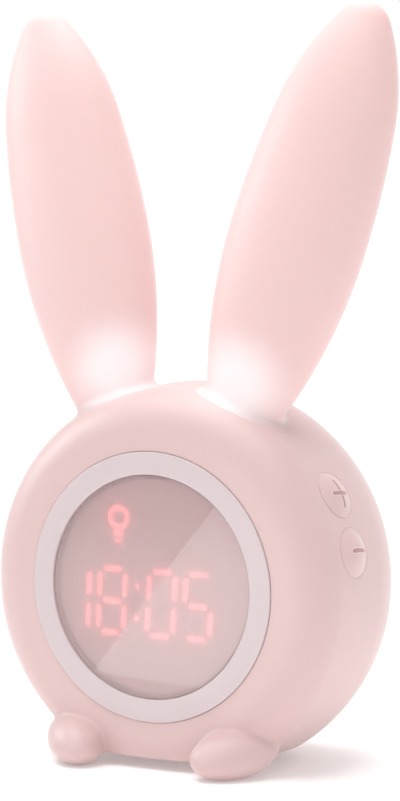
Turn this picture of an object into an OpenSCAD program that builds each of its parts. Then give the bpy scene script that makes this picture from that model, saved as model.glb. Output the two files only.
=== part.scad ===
// Bedside alarm clock with a night light in two long hollow ears.
// The front faces -Y and +X is on the right of someone who reads the clock.
// It stands on z = 0. x = 0 is its plane of symmetry and y = 0 the widest plane of the case.

/* [Case] */
// Diameter of the case at its widest plane
case_d = 114; // [110:1:120]
// From the widest plane to the flat front
front_depth = 31.3; // [30:0.1:34]
// From the widest plane to the flat back of the rear cover
rear_depth = 33.2; // [32:0.1:36]
// Radius of the rounded edge of the front
front_round = 12.1; // [11:0.1:13]
// Narrowing of the case from the widest plane to that rounded edge
front_draft = 1.1; // [0.8:0.1:1.5]
// Radius of the rounded edge of the rear cover
rear_round = 8.6; // [7:0.1:10]
// Narrowing of the case from the widest plane to that rear edge
rear_draft = 15.3; // [14:0.1:17]
// Wall thickness of the case shell and the rear cover
wall = 2.4; // [2:0.1:2.8]
// From the widest plane back to the joint between the case shell and the rear cover
joint_depth = 22; // [20:0.5:24]
// Depth by which the flat underside cuts into the round case
base_cut = 7.4; // [6.4:0.1:8.2]
// Gap between the flat underside of the case and the table
base_gap = 2.9; // [2.4:0.1:3.4]

/* [Feet] */
// Width of a foot
foot_w = 17.3; // [15:0.1:19]
// Length of a foot
foot_l = 27.1; // [25:0.1:30]
// Height of a foot
foot_h = 14.4; // [13:0.1:16]
// Distance between the middles of the feet
foot_pitch = 51.7; // [48:0.1:54]
// From the widest plane forward to the middle of a foot
foot_front = 28.6; // [27:0.1:30]
// Angle by which the toes turn inward
foot_turn = 33.6; // [20:0.1:40]
// Angle by which a foot rises towards its rear end
foot_rise = 7.4; // [4:0.1:10]
// Length of the base pad
pad_l = 30; // [26:1:34]
// Width of the base pad
pad_w = 14; // [12:1:16]

/* [Ears] */
// Length of an ear above its root
ear_l = 118; // [105:1:130]
// Width of an ear at its widest
ear_w = 42; // [39:0.5:45]
// Thickness of an ear at its widest
ear_t = 25.2; // [23.5:0.1:27]
// Wall thickness of an ear
ear_wall = 1.8; // [1.4:0.1:2.2]
// Distance between the roots of the ears
ear_pitch = 43.3; // [42:0.1:45]
// From the widest plane forward to the middle of an ear's root
ear_front = 14.3; // [13:0.1:15]
// Angle by which an ear tilts outward
ear_tilt = 16.1; // [12:0.1:18]
// Angle by which an ear leans back
ear_lean = 6.5; // [4:0.1:9]
// Length of the oval neck that plugs an ear into the case
neck_l = 22.8; // [21:0.1:24]
// Width of that neck
neck_w = 12.8; // [11.6:0.1:13.4]

/* [Window] */
// Diameter of the window in the bezel ring
window_d = 64.1; // [62:0.1:66]
// Width of the bezel ring round the window
ring_w = 6.55; // [5.8:0.05:7.2]
// How far the ring stands proud of the flat front
ring_proud = 0.5; // [0.3:0.1:0.8]
// Depth of the lens below the ring's face
lens_recess = 0.8; // [0.5:0.1:1.2]
// Thickness of the lens
lens_t = 1.6; // [1.2:0.1:2]

/* [Display] */
// Height of a figure between the middles of its top and bottom bars
figure_h = 18.3; // [16:0.1:20]
// Width of a figure between the middles of its upright bars
figure_w = 8.4; // [7.6:0.1:9]
// Distance from one figure to the next
figure_pitch = 11.9; // [11.4:0.1:12.4]
// Width of a lit bar
bar_w = 1.7; // [1.3:0.1:2]
// Slant of the figures to the right
figure_slant = 3; // [0:0.5:6]
// Sideways place of the colon from the middle of the window
display_x = -6.3; // [-8:0.1:-5]
// Height of the figures' middle below the middle of the window
display_drop = 5.1; // [4:0.1:6]
// Outer diameter of the round part of the lamp sign
sign_d = 7.1; // [6:0.1:8]

/* [Buttons] */
// Diameter of a button
button_d = 14; // [13:0.1:14.4]
// Height of a button's dome above the case
button_dome = 2; // [1.4:0.1:2.4]
// Travel of a button
button_travel = 0.6; // [0.4:0.1:0.65]
// Distance between the two buttons of a side
button_pitch = 16.9; // [16.6:0.1:18]
// Angle of the middle of the two buttons above the case's centre
button_angle = 20.2; // [18:0.1:22]
// From the widest plane forward to the buttons
button_front = 11.4; // [10:0.1:12]

/* [Inside] */
// Thickness of the boards
board_t = 1.6; // [1.2:0.1:1.8]
// Thickness of the chassis plate
chassis_t = 2; // [1.6:0.1:2.4]
// Width of the battery
battery_w = 50; // [46:1:52]
// Height of the battery
battery_h = 25; // [22:1:26]
// Thickness of the battery
battery_t = 9; // [7:0.5:10]
// Diameter of the loudspeaker
speaker_d = 32; // [28:1:34]
// Thickness of the loudspeaker
speaker_t = 7; // [6:0.5:9]
// Diameter of one hole of the loudspeaker grille
grille_hole_d = 1.8; // [1.4:0.1:2.2]
// Rings of holes in the loudspeaker grille, round the middle one
grille_rings = 3; // [2:1:4]

/* [Fasteners] */
// Diameter of the shaft of a case screw
screw_d = 2.6; // [2.2:0.1:2.8]
// Diameter of the head of a case screw
screw_head_d = 5.2; // [4.6:0.1:5.6]
// Diameter of the shaft of a board screw
small_screw_d = 1.8; // [1.6:0.1:2]
// Diameter of the head of a board screw
small_head_d = 3.6; // [3.2:0.1:4]

/* [Hidden] */
$fn = 96;

// Clearances
slide_gap = 0.1;     // round a button in its hole, a lens or a ring in its seat
seat_gap = 0.05;     // between curved faces that meet
part_gap = 0.3;      // round a board, a battery or a loudspeaker in its seat
pilot_gap = 0.05;    // between a screw and the wall of its hole
bite = 0.5;          // how far a post or wall reaches into the plate that carries it
far = 400;           // longer than anything on the clock
// A small disc that touches a large one from inside starts lower by this and is larger by a hair,
// so that the two arcs cross cleanly
start_lower = 2;
hair = 0.002;

// Case
case_r = case_d / 2;
case_height = base_gap + case_r - base_cut;
front_flat_r = case_r - front_draft - front_round;
rear_flat_r = case_r - rear_draft - rear_round;
// Radius of the side arc that is upright at the widest plane and meets a rounded edge smoothly
function side_arc(draft, depth, edge) =
    (pow(draft + edge, 2) + pow(depth - edge, 2) - edge * edge) / (2 * draft);
front_side_r = side_arc(front_draft, front_depth, front_round);
rear_side_r = side_arc(rear_draft, rear_depth, rear_round);
// Radius of the case at a distance in front of the widest plane, on its front side arc
function case_radius_front(a) = case_r - front_side_r + sqrt(pow(front_side_r, 2) - a * a);
// The same behind the widest plane
function case_radius_rear(a) = case_r - rear_side_r + sqrt(pow(rear_side_r, 2) - a * a);
// Inner radius of the case shell at its joint with the rear cover
joint_inner_r = case_r - rear_side_r + sqrt(pow(rear_side_r - wall, 2) - pow(joint_depth, 2));

// Window: distances in front of the widest plane
ring_face = front_depth + ring_proud;
window_r = window_d / 2;
ring_r = window_r + ring_w;
ring_flange_t = 2;
ring_flange_w = 2.5;
ring_ledge_t = 3;
ring_ledge_w = 2.4;
ring_seat = ring_face - ring_flange_t;
lens_face = ring_face - lens_recess;
lens_back = lens_face - lens_t;
ring_lip = 1.3;
ring_lip_t = 1.8;
block_face = lens_back - ring_lip_t;
skirt_r = ring_r - ring_flange_w;
skirt_t = 1.8;
skirt_l = 4;
block_r = skirt_r - skirt_t - slide_gap;
block_t = 6.8;
bar_t = 3;
bar_proud = 0.2;
bar_end_gap = 0.25;
bar_face = block_face + bar_proud;
display_board_face = block_face - block_t;
led_t = 0.6;
led_w = 1.2;
led_l = 2.2;

// Display: places of the figures from the colon, and the bars that show 18:05
figure_places = [-1.7, -0.7, 0.67, 1.67];
lit = ["bc", "abcdefg", "abcdef", "acdfg"];
dark = ["", "", "g", "be"];
// Lamp sign, from the middle of its round part
sign_stroke = 1.2;
sign_mid_r = (sign_d - sign_stroke) / 2;
sign_neck = 1.3;
sign_cap = 2.4;
sign_tip = 4.2;
sign_tip_inset = 0.8;
sign_up = 19;
sign_place = [-6, sign_up + display_drop];

// Chassis
chassis_post_l = 3;
chassis_post_x = 24;
chassis_post_y = 20;
chassis_face = display_board_face - board_t - chassis_post_l;
chassis_back = chassis_face - chassis_t;
chassis_r = case_r - 17;
chassis_cut = 7.4;
chassis_top = chassis_r - chassis_cut;
chassis_bottom = -case_height + base_gap + wall + part_gap;
boss_r = 3.6;
lug_r = 4.4;
arm_start = chassis_r - 12;
chassis_screw_circle = case_r - 13;
chassis_screw_angles = [90, 200, 270, 340];
chassis_pilot_l = 9;
screw_head_t = 2;
small_head_t = 1.4;

// Main board
main_post_l = 4;
main_face = chassis_back - main_post_l;
main_w = 48;
main_h = 30;
main_up = 13;
main_screw_inset = 4;
main_screw_places = [
    for (x = [-1, 1], y = [-1, 1])
        [x * (main_w / 2 - main_screw_inset), main_up + y * (main_h / 2 - main_screw_inset)]
];
small_post_r = 2.8;
small_screw_l = 5;

// Battery tray
tray_wall = 1.6;
tray_depth = 6;
battery_pad_t = 0.8;
battery_up = -21;
strap_w = 12;
strap_t = 1.5;
battery_back = chassis_back - battery_pad_t - battery_t;
strap_post_x = battery_w / 2 + part_gap + tray_wall + small_post_r - bite;

// Buttons: distances out from the case's axis, along the travel
button_surface_r = case_radius_front(button_front);
button_spread = asin(button_pitch / 2 / button_surface_r);
button_seat = case_r - 6.5;
flange_t = 1.5;
flange_gap = 0.3;
flange_r = button_pitch / 2 - 0.45;
stem_r = 2;
stem_l = 1.25;
stem_end = button_seat - flange_gap - flange_t - stem_l;
plunger_l = 1;
plunger_r = 1.7;
plunger_gap = button_travel + 0.15;
switch_h = 3.5;
switch_w = 6;
switch_board_face = stem_end - plunger_gap - plunger_l - switch_h;
switch_board_l = 2 * button_pitch;
switch_board_w = 12;
switch_board_back = switch_board_face - board_t;
side_wall_t = 2;
switch_screw_inset = 2.4;
switch_screw_x = switch_board_l / 2 - switch_screw_inset;
button_dome_r = (pow(button_d / 2, 2) + pow(button_dome, 2)) / (2 * button_dome);

// Ears
ear_root_r = case_radius_front(ear_front);
ear_root_up = sqrt(pow(ear_root_r, 2) - pow(ear_pitch / 2, 2));
neck_r = neck_w / 2;
neck_half = (neck_l - neck_w) / 2;
neck_wall = 1.6;
neck_depth = 9;
neck_above = 4;
cup_wall = 2;
cup_ledge = 5.4;
cup_end = neck_depth + cup_ledge;
cup_r = neck_r + slide_gap + cup_wall;
ear_led_w = 3;
ear_led_t = 1.8;
ear_led_pitch = 5;
// Outline of an ear, drawn for a length of 118 and a half width of 21, then scaled to size
outline_l = 118;
outline_half = 21;
outline_belly = 49;
flare_r = 145.5;
flank_r = 260;
shoulder_r = 68.8;
tip_r = 8.9;
ear_below = 8;

// Rear cover and what it carries
cover_screw_circle = case_r - 15;
cover_screw_angles = [45, 135, 225, 315];
cover_boss_r = 4.2;
cover_boss_end = joint_depth - 5;
shell_boss_l = 12;
counterbore_floor = joint_depth - 0.7;
lip_t = 1.9;
lip_l = 3;
speaker_up = 13;
speaker_wall_t = 1.6;
speaker_wall_l = 5;
gasket_t = 1;
gasket_w = 2.5;
cover_inner = rear_depth - wall;
grille_pitch = 3.6;
socket_w = 8.9;
socket_h = 3.3;
socket_l = 7.3;
socket_wall = 0.4;
socket_up = -17;
socket_gap = 0.3;
charge_board_w = 18;
charge_board_l = 14;
cradle_w = 1.6;
cradle_x = 6.8;
cradle_h = 5;

// Feet and base pad
foot_flat = 0.26;
foot_z = foot_h / 2 - foot_flat;
pad_back = 4.4;

// ---------- helpers ----------

// Frame of the case: x to the right, y up, z to the front, from the middle of the widest plane
module in_case() {
    translate([0, 0, case_height]) rotate([90, 0, 0]) children();
}

// Everything above a height over the table
module above(height) {
    translate([-far / 2, -far / 2, height]) cube([far, far, far]);
}

// Oval with straight flanks and round ends, as a flat outline
module oval(half, radius) {
    translate([-half, 0]) circle(radius);
    translate([half, 0]) circle(radius);
    translate([-half, -radius]) square([2 * half, 2 * radius]);
}

// Plate with its lower left corner and size in the case's plane, between two distances
module plate(x, y, w, h, back, front) {
    translate([x, y, back]) cube([w, h, front - back]);
}

// The part of a disc between two heights, to the right of the axis
module band(centre, radius, low, high) {
    intersection() {
        translate(centre) circle(radius, $fn = 360);
        translate([0, low]) square([far, high - low]);
    }
}

// Half outline of the case from the widest plane to one flat end. The half that starts lower than
// that plane reaches past the other one by a hair.
module case_outline(radius, draft, depth, edge, lower) {
    over = lower > 0 ? hair : 0;
    flat_r = radius - draft - edge;
    side = side_arc(draft, depth, edge);
    lean = atan((depth - edge) / (flat_r - radius + side));
    meet = depth - edge + edge * sin(lean);
    square([flat_r, depth]);
    band([radius - side, 0], side + over, -lower, meet);
    band([flat_r, depth - edge], edge + over + hair, meet - start_lower, depth);
}

// Full turn of an outline in four quarters, which keeps its true curves when it is scaled or trimmed
module turned() {
    for (quarter = [0 : 3])
        rotate([0, 0, 90 * quarter]) rotate_extrude(angle = 90, $fn = 120) children();
}

// Outer form of the case, inset evenly by a distance
module case_form(inset) {
    in_case() turned() {
        case_outline(case_r - inset, front_draft, front_depth - inset, front_round - inset, 0);
        mirror([0, 1])
            case_outline(case_r - inset, rear_draft, rear_depth - inset, rear_round - inset,
                         start_lower);
    }
}

// Frame of an ear: z along the ear from the middle of its root, x across, y through it
module in_ear(side) {
    mirror([side < 0 ? 1 : 0, 0, 0])
        translate([ear_pitch / 2, -ear_front, case_height + ear_root_up])
            rotate([-ear_lean, 0, 0]) rotate([0, ear_tilt, 0]) children();
}

// Frame of the buttons: z outward along the travel, x up along the case, y to the front
module in_keys(side) {
    in_case() mirror([side < 0 ? 1 : 0, 0, 0]) rotate([0, 0, button_angle])
        translate([0, 0, button_front]) rotate([90, 0, 90]) children();
}

// Screw with its head's underside at z = 0 and its shaft pointing up
module screw(shaft_d, shaft_l, head_d, head_t) {
    difference() {
        translate([0, 0, -head_t]) cylinder(d = head_d, h = head_t);
        for (turn = [0, 90])
            rotate([0, 0, turn]) translate([-head_d / 4, -head_d / 16, -head_t - 1])
                cube([head_d / 2, head_d / 8, 1 + head_t / 2]);
    }
    cylinder(d = shaft_d, h = shaft_l - shaft_d / 2);
    translate([0, 0, shaft_l - shaft_d / 2]) cylinder(d1 = shaft_d, d2 = shaft_d / 4, h = shaft_d / 2);
}

// ---------- case shell ----------

module foot(side) {
    mirror([side < 0 ? 1 : 0, 0, 0])
        translate([foot_pitch / 2, -foot_front, foot_z])
            rotate([0, 0, -foot_turn]) rotate([foot_rise, 0, 0])
                scale([foot_w / foot_l, 1, foot_h / foot_l]) sphere(d = foot_l);
}

module base_oval(grow, bottom, top) {
    translate([0, pad_back, bottom]) linear_extrude(top - bottom)
        oval((pad_l - pad_w) / 2, pad_w / 2 + grow);
}

module case_hollow() {
    intersection() {
        case_form(wall);
        above(base_gap + wall);
    }
}

module shell_skin() {
    difference() {
        union() {
            intersection() {
                case_form(0);
                above(base_gap);
            }
            for (side = [-1, 1]) foot(side);
        }
        case_hollow();
        in_case() translate([0, 0, -far - joint_depth]) cylinder(r = case_d, h = far);
    }
}

module shell_bosses() {
    intersection() {
        case_form(wall / 2);
        above(base_gap + wall / 2);
        union() {
            in_case() {
                for (angle = chassis_screw_angles)
                    rotate([0, 0, angle]) translate([chassis_screw_circle, 0, chassis_face])
                        cylinder(r = boss_r, h = front_depth - chassis_face);
                for (angle = cover_screw_angles)
                    rotate([0, 0, angle]) {
                        translate([cover_screw_circle, 0, -cover_boss_end])
                            cylinder(r = boss_r, h = shell_boss_l);
                        translate([cover_screw_circle, -1, -cover_boss_end])
                            cube([case_r - cover_screw_circle, 2, shell_boss_l]);
                    }
                difference() {
                    translate([0, 0, ring_seat - ring_ledge_t])
                        cylinder(r = ring_r + ring_ledge_w, h = ring_ledge_t);
                    translate([0, 0, ring_seat - far / 2]) cylinder(r = skirt_r + slide_gap, h = far);
                }
            }
            for (side = [-1, 1])
                in_keys(side) translate([0, 0, button_seat])
                    linear_extrude(case_r - button_seat)
                        oval(button_pitch / 2, button_d / 2 + 2);
        }
    }
}

module case_shell() {
    color("#e8cccb") difference() {
        union() {
            shell_skin();
            shell_bosses();
        }
        in_case() {
            translate([0, 0, ring_seat]) cylinder(r = ring_r + slide_gap, h = far);
            translate([0, 0, chassis_face]) cylinder(r = skirt_r + slide_gap, h = far);
            for (angle = chassis_screw_angles)
                rotate([0, 0, angle]) translate([chassis_screw_circle, 0, chassis_face - 1])
                    cylinder(d = screw_d + 2 * pilot_gap, h = chassis_pilot_l + 1);
            for (angle = cover_screw_angles)
                rotate([0, 0, angle]) translate([cover_screw_circle, 0, -cover_boss_end - 1])
                    cylinder(d = screw_d + 2 * pilot_gap, h = shell_boss_l - 1);
        }
        for (side = [-1, 1]) {
            in_ear(side) translate([0, 0, -cup_end])
                linear_extrude(cup_end + neck_above) oval(neck_half, neck_r + slide_gap);
            in_keys(side) for (end = [-1, 1])
                translate([end * button_pitch / 2, 0, button_seat - 1])
                    cylinder(d = button_d + 2 * slide_gap, h = far);
        }
        base_oval(slide_gap, -1, base_gap + wall / 2);
        translate([-far / 2, -far / 2, -far]) cube([far, far, far]);
    }
}

module base_pad() {
    color("#cdb6b5") base_oval(0, 0, base_gap + wall / 2);
}

// ---------- rear cover ----------

// One ring of holes, in the plane of the flat back
module grille_ring(ring) {
    count = ring == 0 ? 1 : 6 * ring;
    for (i = [0 : count - 1])
        rotate([0, 0, 360 * i / count]) translate([ring * grille_pitch, 0, 0])
            cylinder(d = grille_hole_d, h = 2 * wall, $fn = 24);
}

module rear_cover() {
    color("#e3c6c5") difference() {
        union() {
            intersection() {
                difference() {
                    case_form(0);
                    case_form(wall);
                }
                in_case() translate([0, 0, -far - joint_depth]) cylinder(r = case_d, h = far);
            }
            intersection() {
                case_form(wall / 2);
                in_case() for (angle = cover_screw_angles)
                    rotate([0, 0, angle]) translate([cover_screw_circle, 0, -rear_depth])
                        cylinder(r = cover_boss_r, h = rear_depth - cover_boss_end);
                in_case() translate([0, 0, -far])
                    cylinder(r = joint_inner_r - part_gap, h = 2 * far);
            }
            in_case() {
                difference() {
                    translate([0, 0, -joint_depth - wall])
                        cylinder(r = joint_inner_r - part_gap, h = lip_l + wall);
                    translate([0, 0, -joint_depth - wall - 1])
                        cylinder(r = joint_inner_r - part_gap - lip_t, h = far);
                }
                difference() {
                    translate([0, speaker_up, -cover_inner - wall / 2])
                        cylinder(d = speaker_d + 2 * (part_gap + speaker_wall_t),
                                 h = speaker_wall_l + wall / 2);
                    translate([0, speaker_up, -cover_inner])
                        cylinder(d = speaker_d + 2 * part_gap, h = far);
                }
                for (side = [-1, 1])
                    plate(side * cradle_x - cradle_w / 2, socket_up - socket_h / 2 - board_t - cradle_h,
                          cradle_w, cradle_h, -cover_inner - wall / 2, -cover_inner + charge_board_l - 1);
            }
        }
        in_case() {
            for (angle = cover_screw_angles)
                rotate([0, 0, angle]) translate([cover_screw_circle, 0, 0]) {
                    translate([0, 0, -rear_depth - 1])
                        cylinder(d = screw_d + 2 * part_gap, h = far);
                    translate([0, 0, -rear_depth - 1])
                        cylinder(d = screw_head_d + 2 * part_gap,
                                 h = rear_depth + 1 - counterbore_floor);
                }
            translate([0, speaker_up, -rear_depth - wall / 2])
                for (ring = [0 : grille_rings]) grille_ring(ring);
            translate([0, socket_up, -rear_depth - 1]) linear_extrude(wall + 2)
                oval((socket_w - socket_h) / 2, socket_h / 2 + socket_gap);
        }
    }
}

module cover_screws() {
    color("#9a9a9e") in_case() for (angle = cover_screw_angles)
        rotate([0, 0, angle]) translate([cover_screw_circle, 0, -counterbore_floor])
            screw(screw_d, shell_boss_l, screw_head_d, screw_head_t);
}

// ---------- ears ----------

// Half outline of an ear: flare below the belly, flank and shoulder above it, round tip
module ear_outline() {
    tip = [0, outline_l - tip_r];
    flank = [outline_half - flank_r, outline_belly];
    reach = norm(tip - flank);
    along = (pow(flank_r - shoulder_r, 2) - pow(shoulder_r - tip_r, 2) + reach * reach) / (2 * reach);
    off = sqrt(pow(flank_r - shoulder_r, 2) - along * along);
    dir = (tip - flank) / reach;
    shoulder = flank + along * dir + off * [dir[1], -dir[0]];
    flank_dir = (shoulder - flank) / norm(shoulder - flank);
    tip_dir = (tip - shoulder) / norm(tip - shoulder);
    flank_end = flank[1] + flank_r * flank_dir[1];
    shoulder_end = tip[1] + tip_r * tip_dir[1];
    band([outline_half - flare_r, outline_belly], flare_r, -ear_below, outline_belly);
    band(flank, flank_r, outline_belly, flank_end);
    band(shoulder, shoulder_r + hair, flank_end - start_lower, shoulder_end);
    band(tip, tip_r + 2 * hair, shoulder_end - start_lower, outline_l + 1);
}

module ear_form(width, thickness, length) {
    scale([width / 2 / outline_half, thickness / 2 / outline_half, length / outline_l])
        turned() ear_outline();
}

module ear(side) {
    difference() {
        union() {
            difference() {
                in_ear(side) ear_form(ear_w, ear_t, ear_l);
                case_form(-seat_gap);
            }
            in_ear(side) translate([0, 0, -neck_depth])
                linear_extrude(neck_depth + neck_above) oval(neck_half, neck_r);
        }
        in_ear(side) {
            intersection() {
                ear_form(ear_w - 2 * ear_wall, ear_t - 2 * ear_wall, ear_l - ear_wall);
                above(neck_above - 1);
            }
            translate([0, 0, -neck_depth - 1]) linear_extrude(neck_depth + neck_above + 1)
                oval(neck_half, neck_r - neck_wall);
        }
    }
}

module ear_left() {
    color("#edcbc9") ear(-1);
}

module ear_right() {
    color("#edcbc9") ear(1);
}

module ear_cup(side) {
    intersection() {
        case_form(wall + seat_gap);
        in_ear(side) difference() {
            translate([0, 0, -cup_end - board_t]) linear_extrude(cup_end + board_t + neck_above)
                oval(neck_half, cup_r);
            translate([0, 0, -cup_end - board_t - 1]) linear_extrude(far)
                oval(neck_half, neck_r - neck_wall);
            translate([0, 0, -neck_depth]) linear_extrude(far) oval(neck_half, neck_r + slide_gap);
            translate([0, 0, -far - cup_end]) linear_extrude(far) oval(neck_half, neck_r + slide_gap);
        }
    }
}

module ear_cup_left() {
    color("#f2f0ee") ear_cup(-1);
}

module ear_cup_right() {
    color("#f2f0ee") ear_cup(1);
}

module ear_board(side) {
    in_ear(side) translate([0, 0, -cup_end - board_t])
        linear_extrude(board_t) oval(neck_half, neck_r);
}

module ear_board_left() {
    color("#e9e6df") ear_board(-1);
}

module ear_board_right() {
    color("#e9e6df") ear_board(1);
}

module ear_leds() {
    color("#fff3c4") for (side = [-1, 1]) in_ear(side)
        for (place = [-1 : 1])
            translate([place * ear_led_pitch - ear_led_w / 2, -ear_led_w / 2, -cup_end])
                cube([ear_led_w, ear_led_w, ear_led_t]);
}

// ---------- window and display ----------

module bezel_ring() {
    chamfer = 0.3;
    color("#dfd0d4") in_case() rotate_extrude($fn = 120) polygon([
        [window_r, ring_face - chamfer],
        [window_r + chamfer, ring_face],
        [ring_r - chamfer, ring_face],
        [ring_r, ring_face - chamfer],
        [ring_r, ring_seat],
        [skirt_r, ring_seat],
        [skirt_r, ring_seat - skirt_l],
        [skirt_r - skirt_t, ring_seat - skirt_l],
        [skirt_r - skirt_t, block_face],
        [window_r - ring_lip, block_face],
        [window_r - ring_lip, lens_back],
        [window_r, lens_back],
    ]);
}

module lens() {
    chamfer = 0.2;
    lens_r = window_r - slide_gap;
    color("#b99a9c") in_case() rotate_extrude($fn = 120) polygon([
        [0, lens_back],
        [lens_r, lens_back],
        [lens_r, lens_face - chamfer],
        [lens_r - chamfer, lens_face],
        [0, lens_face],
    ]);
}

// Flat outline of one bar, along x, pointed at both ends
module bar(length, grow) {
    w = bar_w / 2 + grow;
    half = length / 2 - bar_end_gap + grow;
    polygon([
        [-half, 0],
        [-half + w, w],
        [half - w, w],
        [half, 0],
        [half - w, -w],
        [-half + w, -w],
    ]);
}

// The bars of a figure have letters: a top, b upper right, c lower right, d bottom,
// e lower left, f upper left, g middle
function bar_is_flat(c) = c == "a" || c == "g" || c == "d";

// Middle of one bar, from the middle of its figure
function bar_middle(c) =
    let (
        high = c == "a" ? 2 : (c == "b" || c == "f") ? 1 : c == "g" ? 0 : c == "d" ? -2 : -1,
        side = bar_is_flat(c) ? 0 : (c == "b" || c == "c") ? 1 : -1,
        up = high * figure_h / 4
    )
    [side * figure_w / 2 + up * tan(figure_slant), up];

// The bars of one figure that its letters name
module figure_bars(letters, grow) {
    for (c = letters)
        translate(bar_middle(c))
            rotate([0, 0, bar_is_flat(c) ? 0 : 90 - figure_slant])
                bar(bar_is_flat(c) ? figure_w : figure_h / 2, grow);
}

module figures(bars, grow) {
    for (i = [0 : 3])
        translate([figure_places[i] * figure_pitch, 0]) figure_bars(bars[i], grow);
}

module colon(grow) {
    for (end = [-1, 1])
        translate([end * figure_h / 4 * tan(figure_slant), end * figure_h / 4])
            circle(d = bar_w + 2 * grow, $fn = 32);
}

// Flat outline of the lamp sign: a round bulb with a neck, a cap line and a shorter line below it
module sign(grow) {
    stroke = sign_stroke / 2 + grow;
    difference() {
        union() {
            circle(sign_mid_r + stroke);
            translate([-sign_neck - stroke, -sign_mid_r - sign_cap])
                square([2 * (sign_neck + stroke), sign_mid_r]);
        }
        circle(sign_mid_r - stroke);
        translate([-sign_neck + stroke, -far]) square([2 * (sign_neck - stroke), far]);
    }
    for (line = [[sign_neck, sign_cap], [sign_neck - sign_tip_inset, sign_tip]])
        translate([-line[0] - stroke, -sign_mid_r - line[1] - stroke])
            square([2 * (line[0] + stroke), 2 * stroke]);
}

// Frame of the display, from the colon's middle
module in_display() {
    in_case() translate([display_x, -display_drop, 0]) children();
}

module figure_marks(grow) {
    figures(lit, grow);
    figures(dark, grow);
    colon(grow);
}

// The two stretches of the lamp sign's round part that let the light through from behind
module sign_wells() {
    intersection() {
        sign(seat_gap);
        square([far, sign_d / 3], center = true);
    }
}

module display_block() {
    color("#4a3a40") difference() {
        in_case() translate([0, 0, display_board_face]) cylinder(r = block_r, h = block_t);
        in_display() {
            translate([0, 0, display_board_face - 1]) linear_extrude(far) {
                figure_marks(seat_gap);
                translate(sign_place) sign_wells();
            }
            translate([0, 0, bar_face - bar_t]) linear_extrude(far)
                translate(sign_place) sign(seat_gap);
        }
    }
}

module bars_at_face() {
    in_display() translate([0, 0, bar_face - bar_t]) linear_extrude(bar_t) children();
}

module lit_bars() {
    color("#ff9aa0") bars_at_face() figures(lit, 0);
}

module dark_bars() {
    color("#8a6a70") bars_at_face() figures(dark, 0);
}

module colon_dots() {
    color("#ff9aa0") bars_at_face() colon(0);
}

module lamp_sign() {
    color("#ff9aa0") bars_at_face() translate(sign_place) sign(0);
}

module display_board() {
    color("#2f5a3c") in_case() translate([0, 0, display_board_face - board_t])
        cylinder(r = block_r, h = board_t);
}

// One light behind each bar, each colon dot and each well of the lamp sign
module display_leds() {
    color("#fff3c4") in_display() translate([0, 0, display_board_face]) linear_extrude(led_t) {
        for (i = [0 : 3])
            for (c = str(lit[i], dark[i]))
                translate([figure_places[i] * figure_pitch, 0]) translate(bar_middle(c))
                    square(bar_is_flat(c) ? [led_l, led_w] : [led_w, led_l], center = true);
        for (end = [-1, 1])
            translate([end * figure_h / 4 * tan(figure_slant), end * figure_h / 4])
                square(led_w, center = true);
        for (side = [-1, 1])
            translate(sign_place) translate([side * sign_mid_r, 0])
                square([sign_stroke - 2 * seat_gap, led_w], center = true);
    }
}

// ---------- chassis and electronics ----------

// Outline of the chassis plate: a disc cut off under the ears, an arm to each switch board and
// a lug for each screw
module chassis_outline() {
    intersection() {
        union() {
            circle(chassis_r);
            for (side = [-1, 1])
                mirror([side < 0 ? 1 : 0, 0]) rotate(button_angle)
                    translate([arm_start, -switch_board_l / 2])
                        square([switch_board_back - arm_start, switch_board_l]);
        }
        translate([-far / 2, -far / 2]) square([far, far / 2 + chassis_top]);
    }
    intersection() {
        for (angle = chassis_screw_angles)
            rotate(angle) {
                translate([chassis_screw_circle, 0]) circle(lug_r);
                translate([arm_start, -lug_r])
                    square([chassis_screw_circle - arm_start, 2 * lug_r]);
            }
        translate([-far / 2, chassis_bottom]) square([far, far]);
    }
}

module chassis() {
    color("#ecebe8") difference() {
        union() {
            in_case() {
                translate([0, 0, chassis_back]) linear_extrude(chassis_t) chassis_outline();
                for (x = [-1, 1], y = [-1, 1])
                    translate([x * chassis_post_x, y * chassis_post_y, chassis_face - bite])
                        cylinder(r = small_post_r, h = chassis_post_l + bite);
                for (place = main_screw_places)
                    translate([place[0], place[1], main_face])
                        cylinder(r = small_post_r, h = main_post_l + bite);
                battery_tray();
            }
            for (side = [-1, 1]) switch_wall(side);
        }
        in_case() {
            for (angle = chassis_screw_angles)
                rotate([0, 0, angle]) translate([chassis_screw_circle, 0, chassis_back - 1])
                    cylinder(d = screw_d + 2 * part_gap, h = chassis_t + 2);
            for (place = main_screw_places)
                translate([place[0], place[1], main_face - 1])
                    cylinder(d = small_screw_d + 2 * pilot_gap, h = small_screw_l + 1);
            for (side = [-1, 1])
                translate([side * strap_post_x, battery_up, battery_back - 1])
                    cylinder(d = small_screw_d + 2 * pilot_gap, h = small_screw_l + 1);
        }
        for (side = [-1, 1], end = [-1, 1])
            in_keys(side) translate([end * switch_screw_x, 0, switch_board_back - side_wall_t - 1])
                cylinder(d = small_screw_d + 2 * pilot_gap, h = side_wall_t + 2);
    }
}

// Open tray behind the chassis plate, with a post for the strap at each end
module battery_tray() {
    inner_w = battery_w + 2 * part_gap;
    inner_h = battery_h + 2 * part_gap;
    difference() {
        plate(-inner_w / 2 - tray_wall, battery_up - inner_h / 2 - tray_wall,
              inner_w + 2 * tray_wall, inner_h + 2 * tray_wall,
              chassis_back - tray_depth, chassis_back + bite);
        plate(-inner_w / 2, battery_up - inner_h / 2, inner_w, inner_h,
              chassis_back - tray_depth - 1, chassis_back);
    }
    for (side = [-1, 1])
        translate([side * strap_post_x, battery_up, battery_back])
            cylinder(r = small_post_r, h = chassis_back + bite - battery_back);
}

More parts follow.
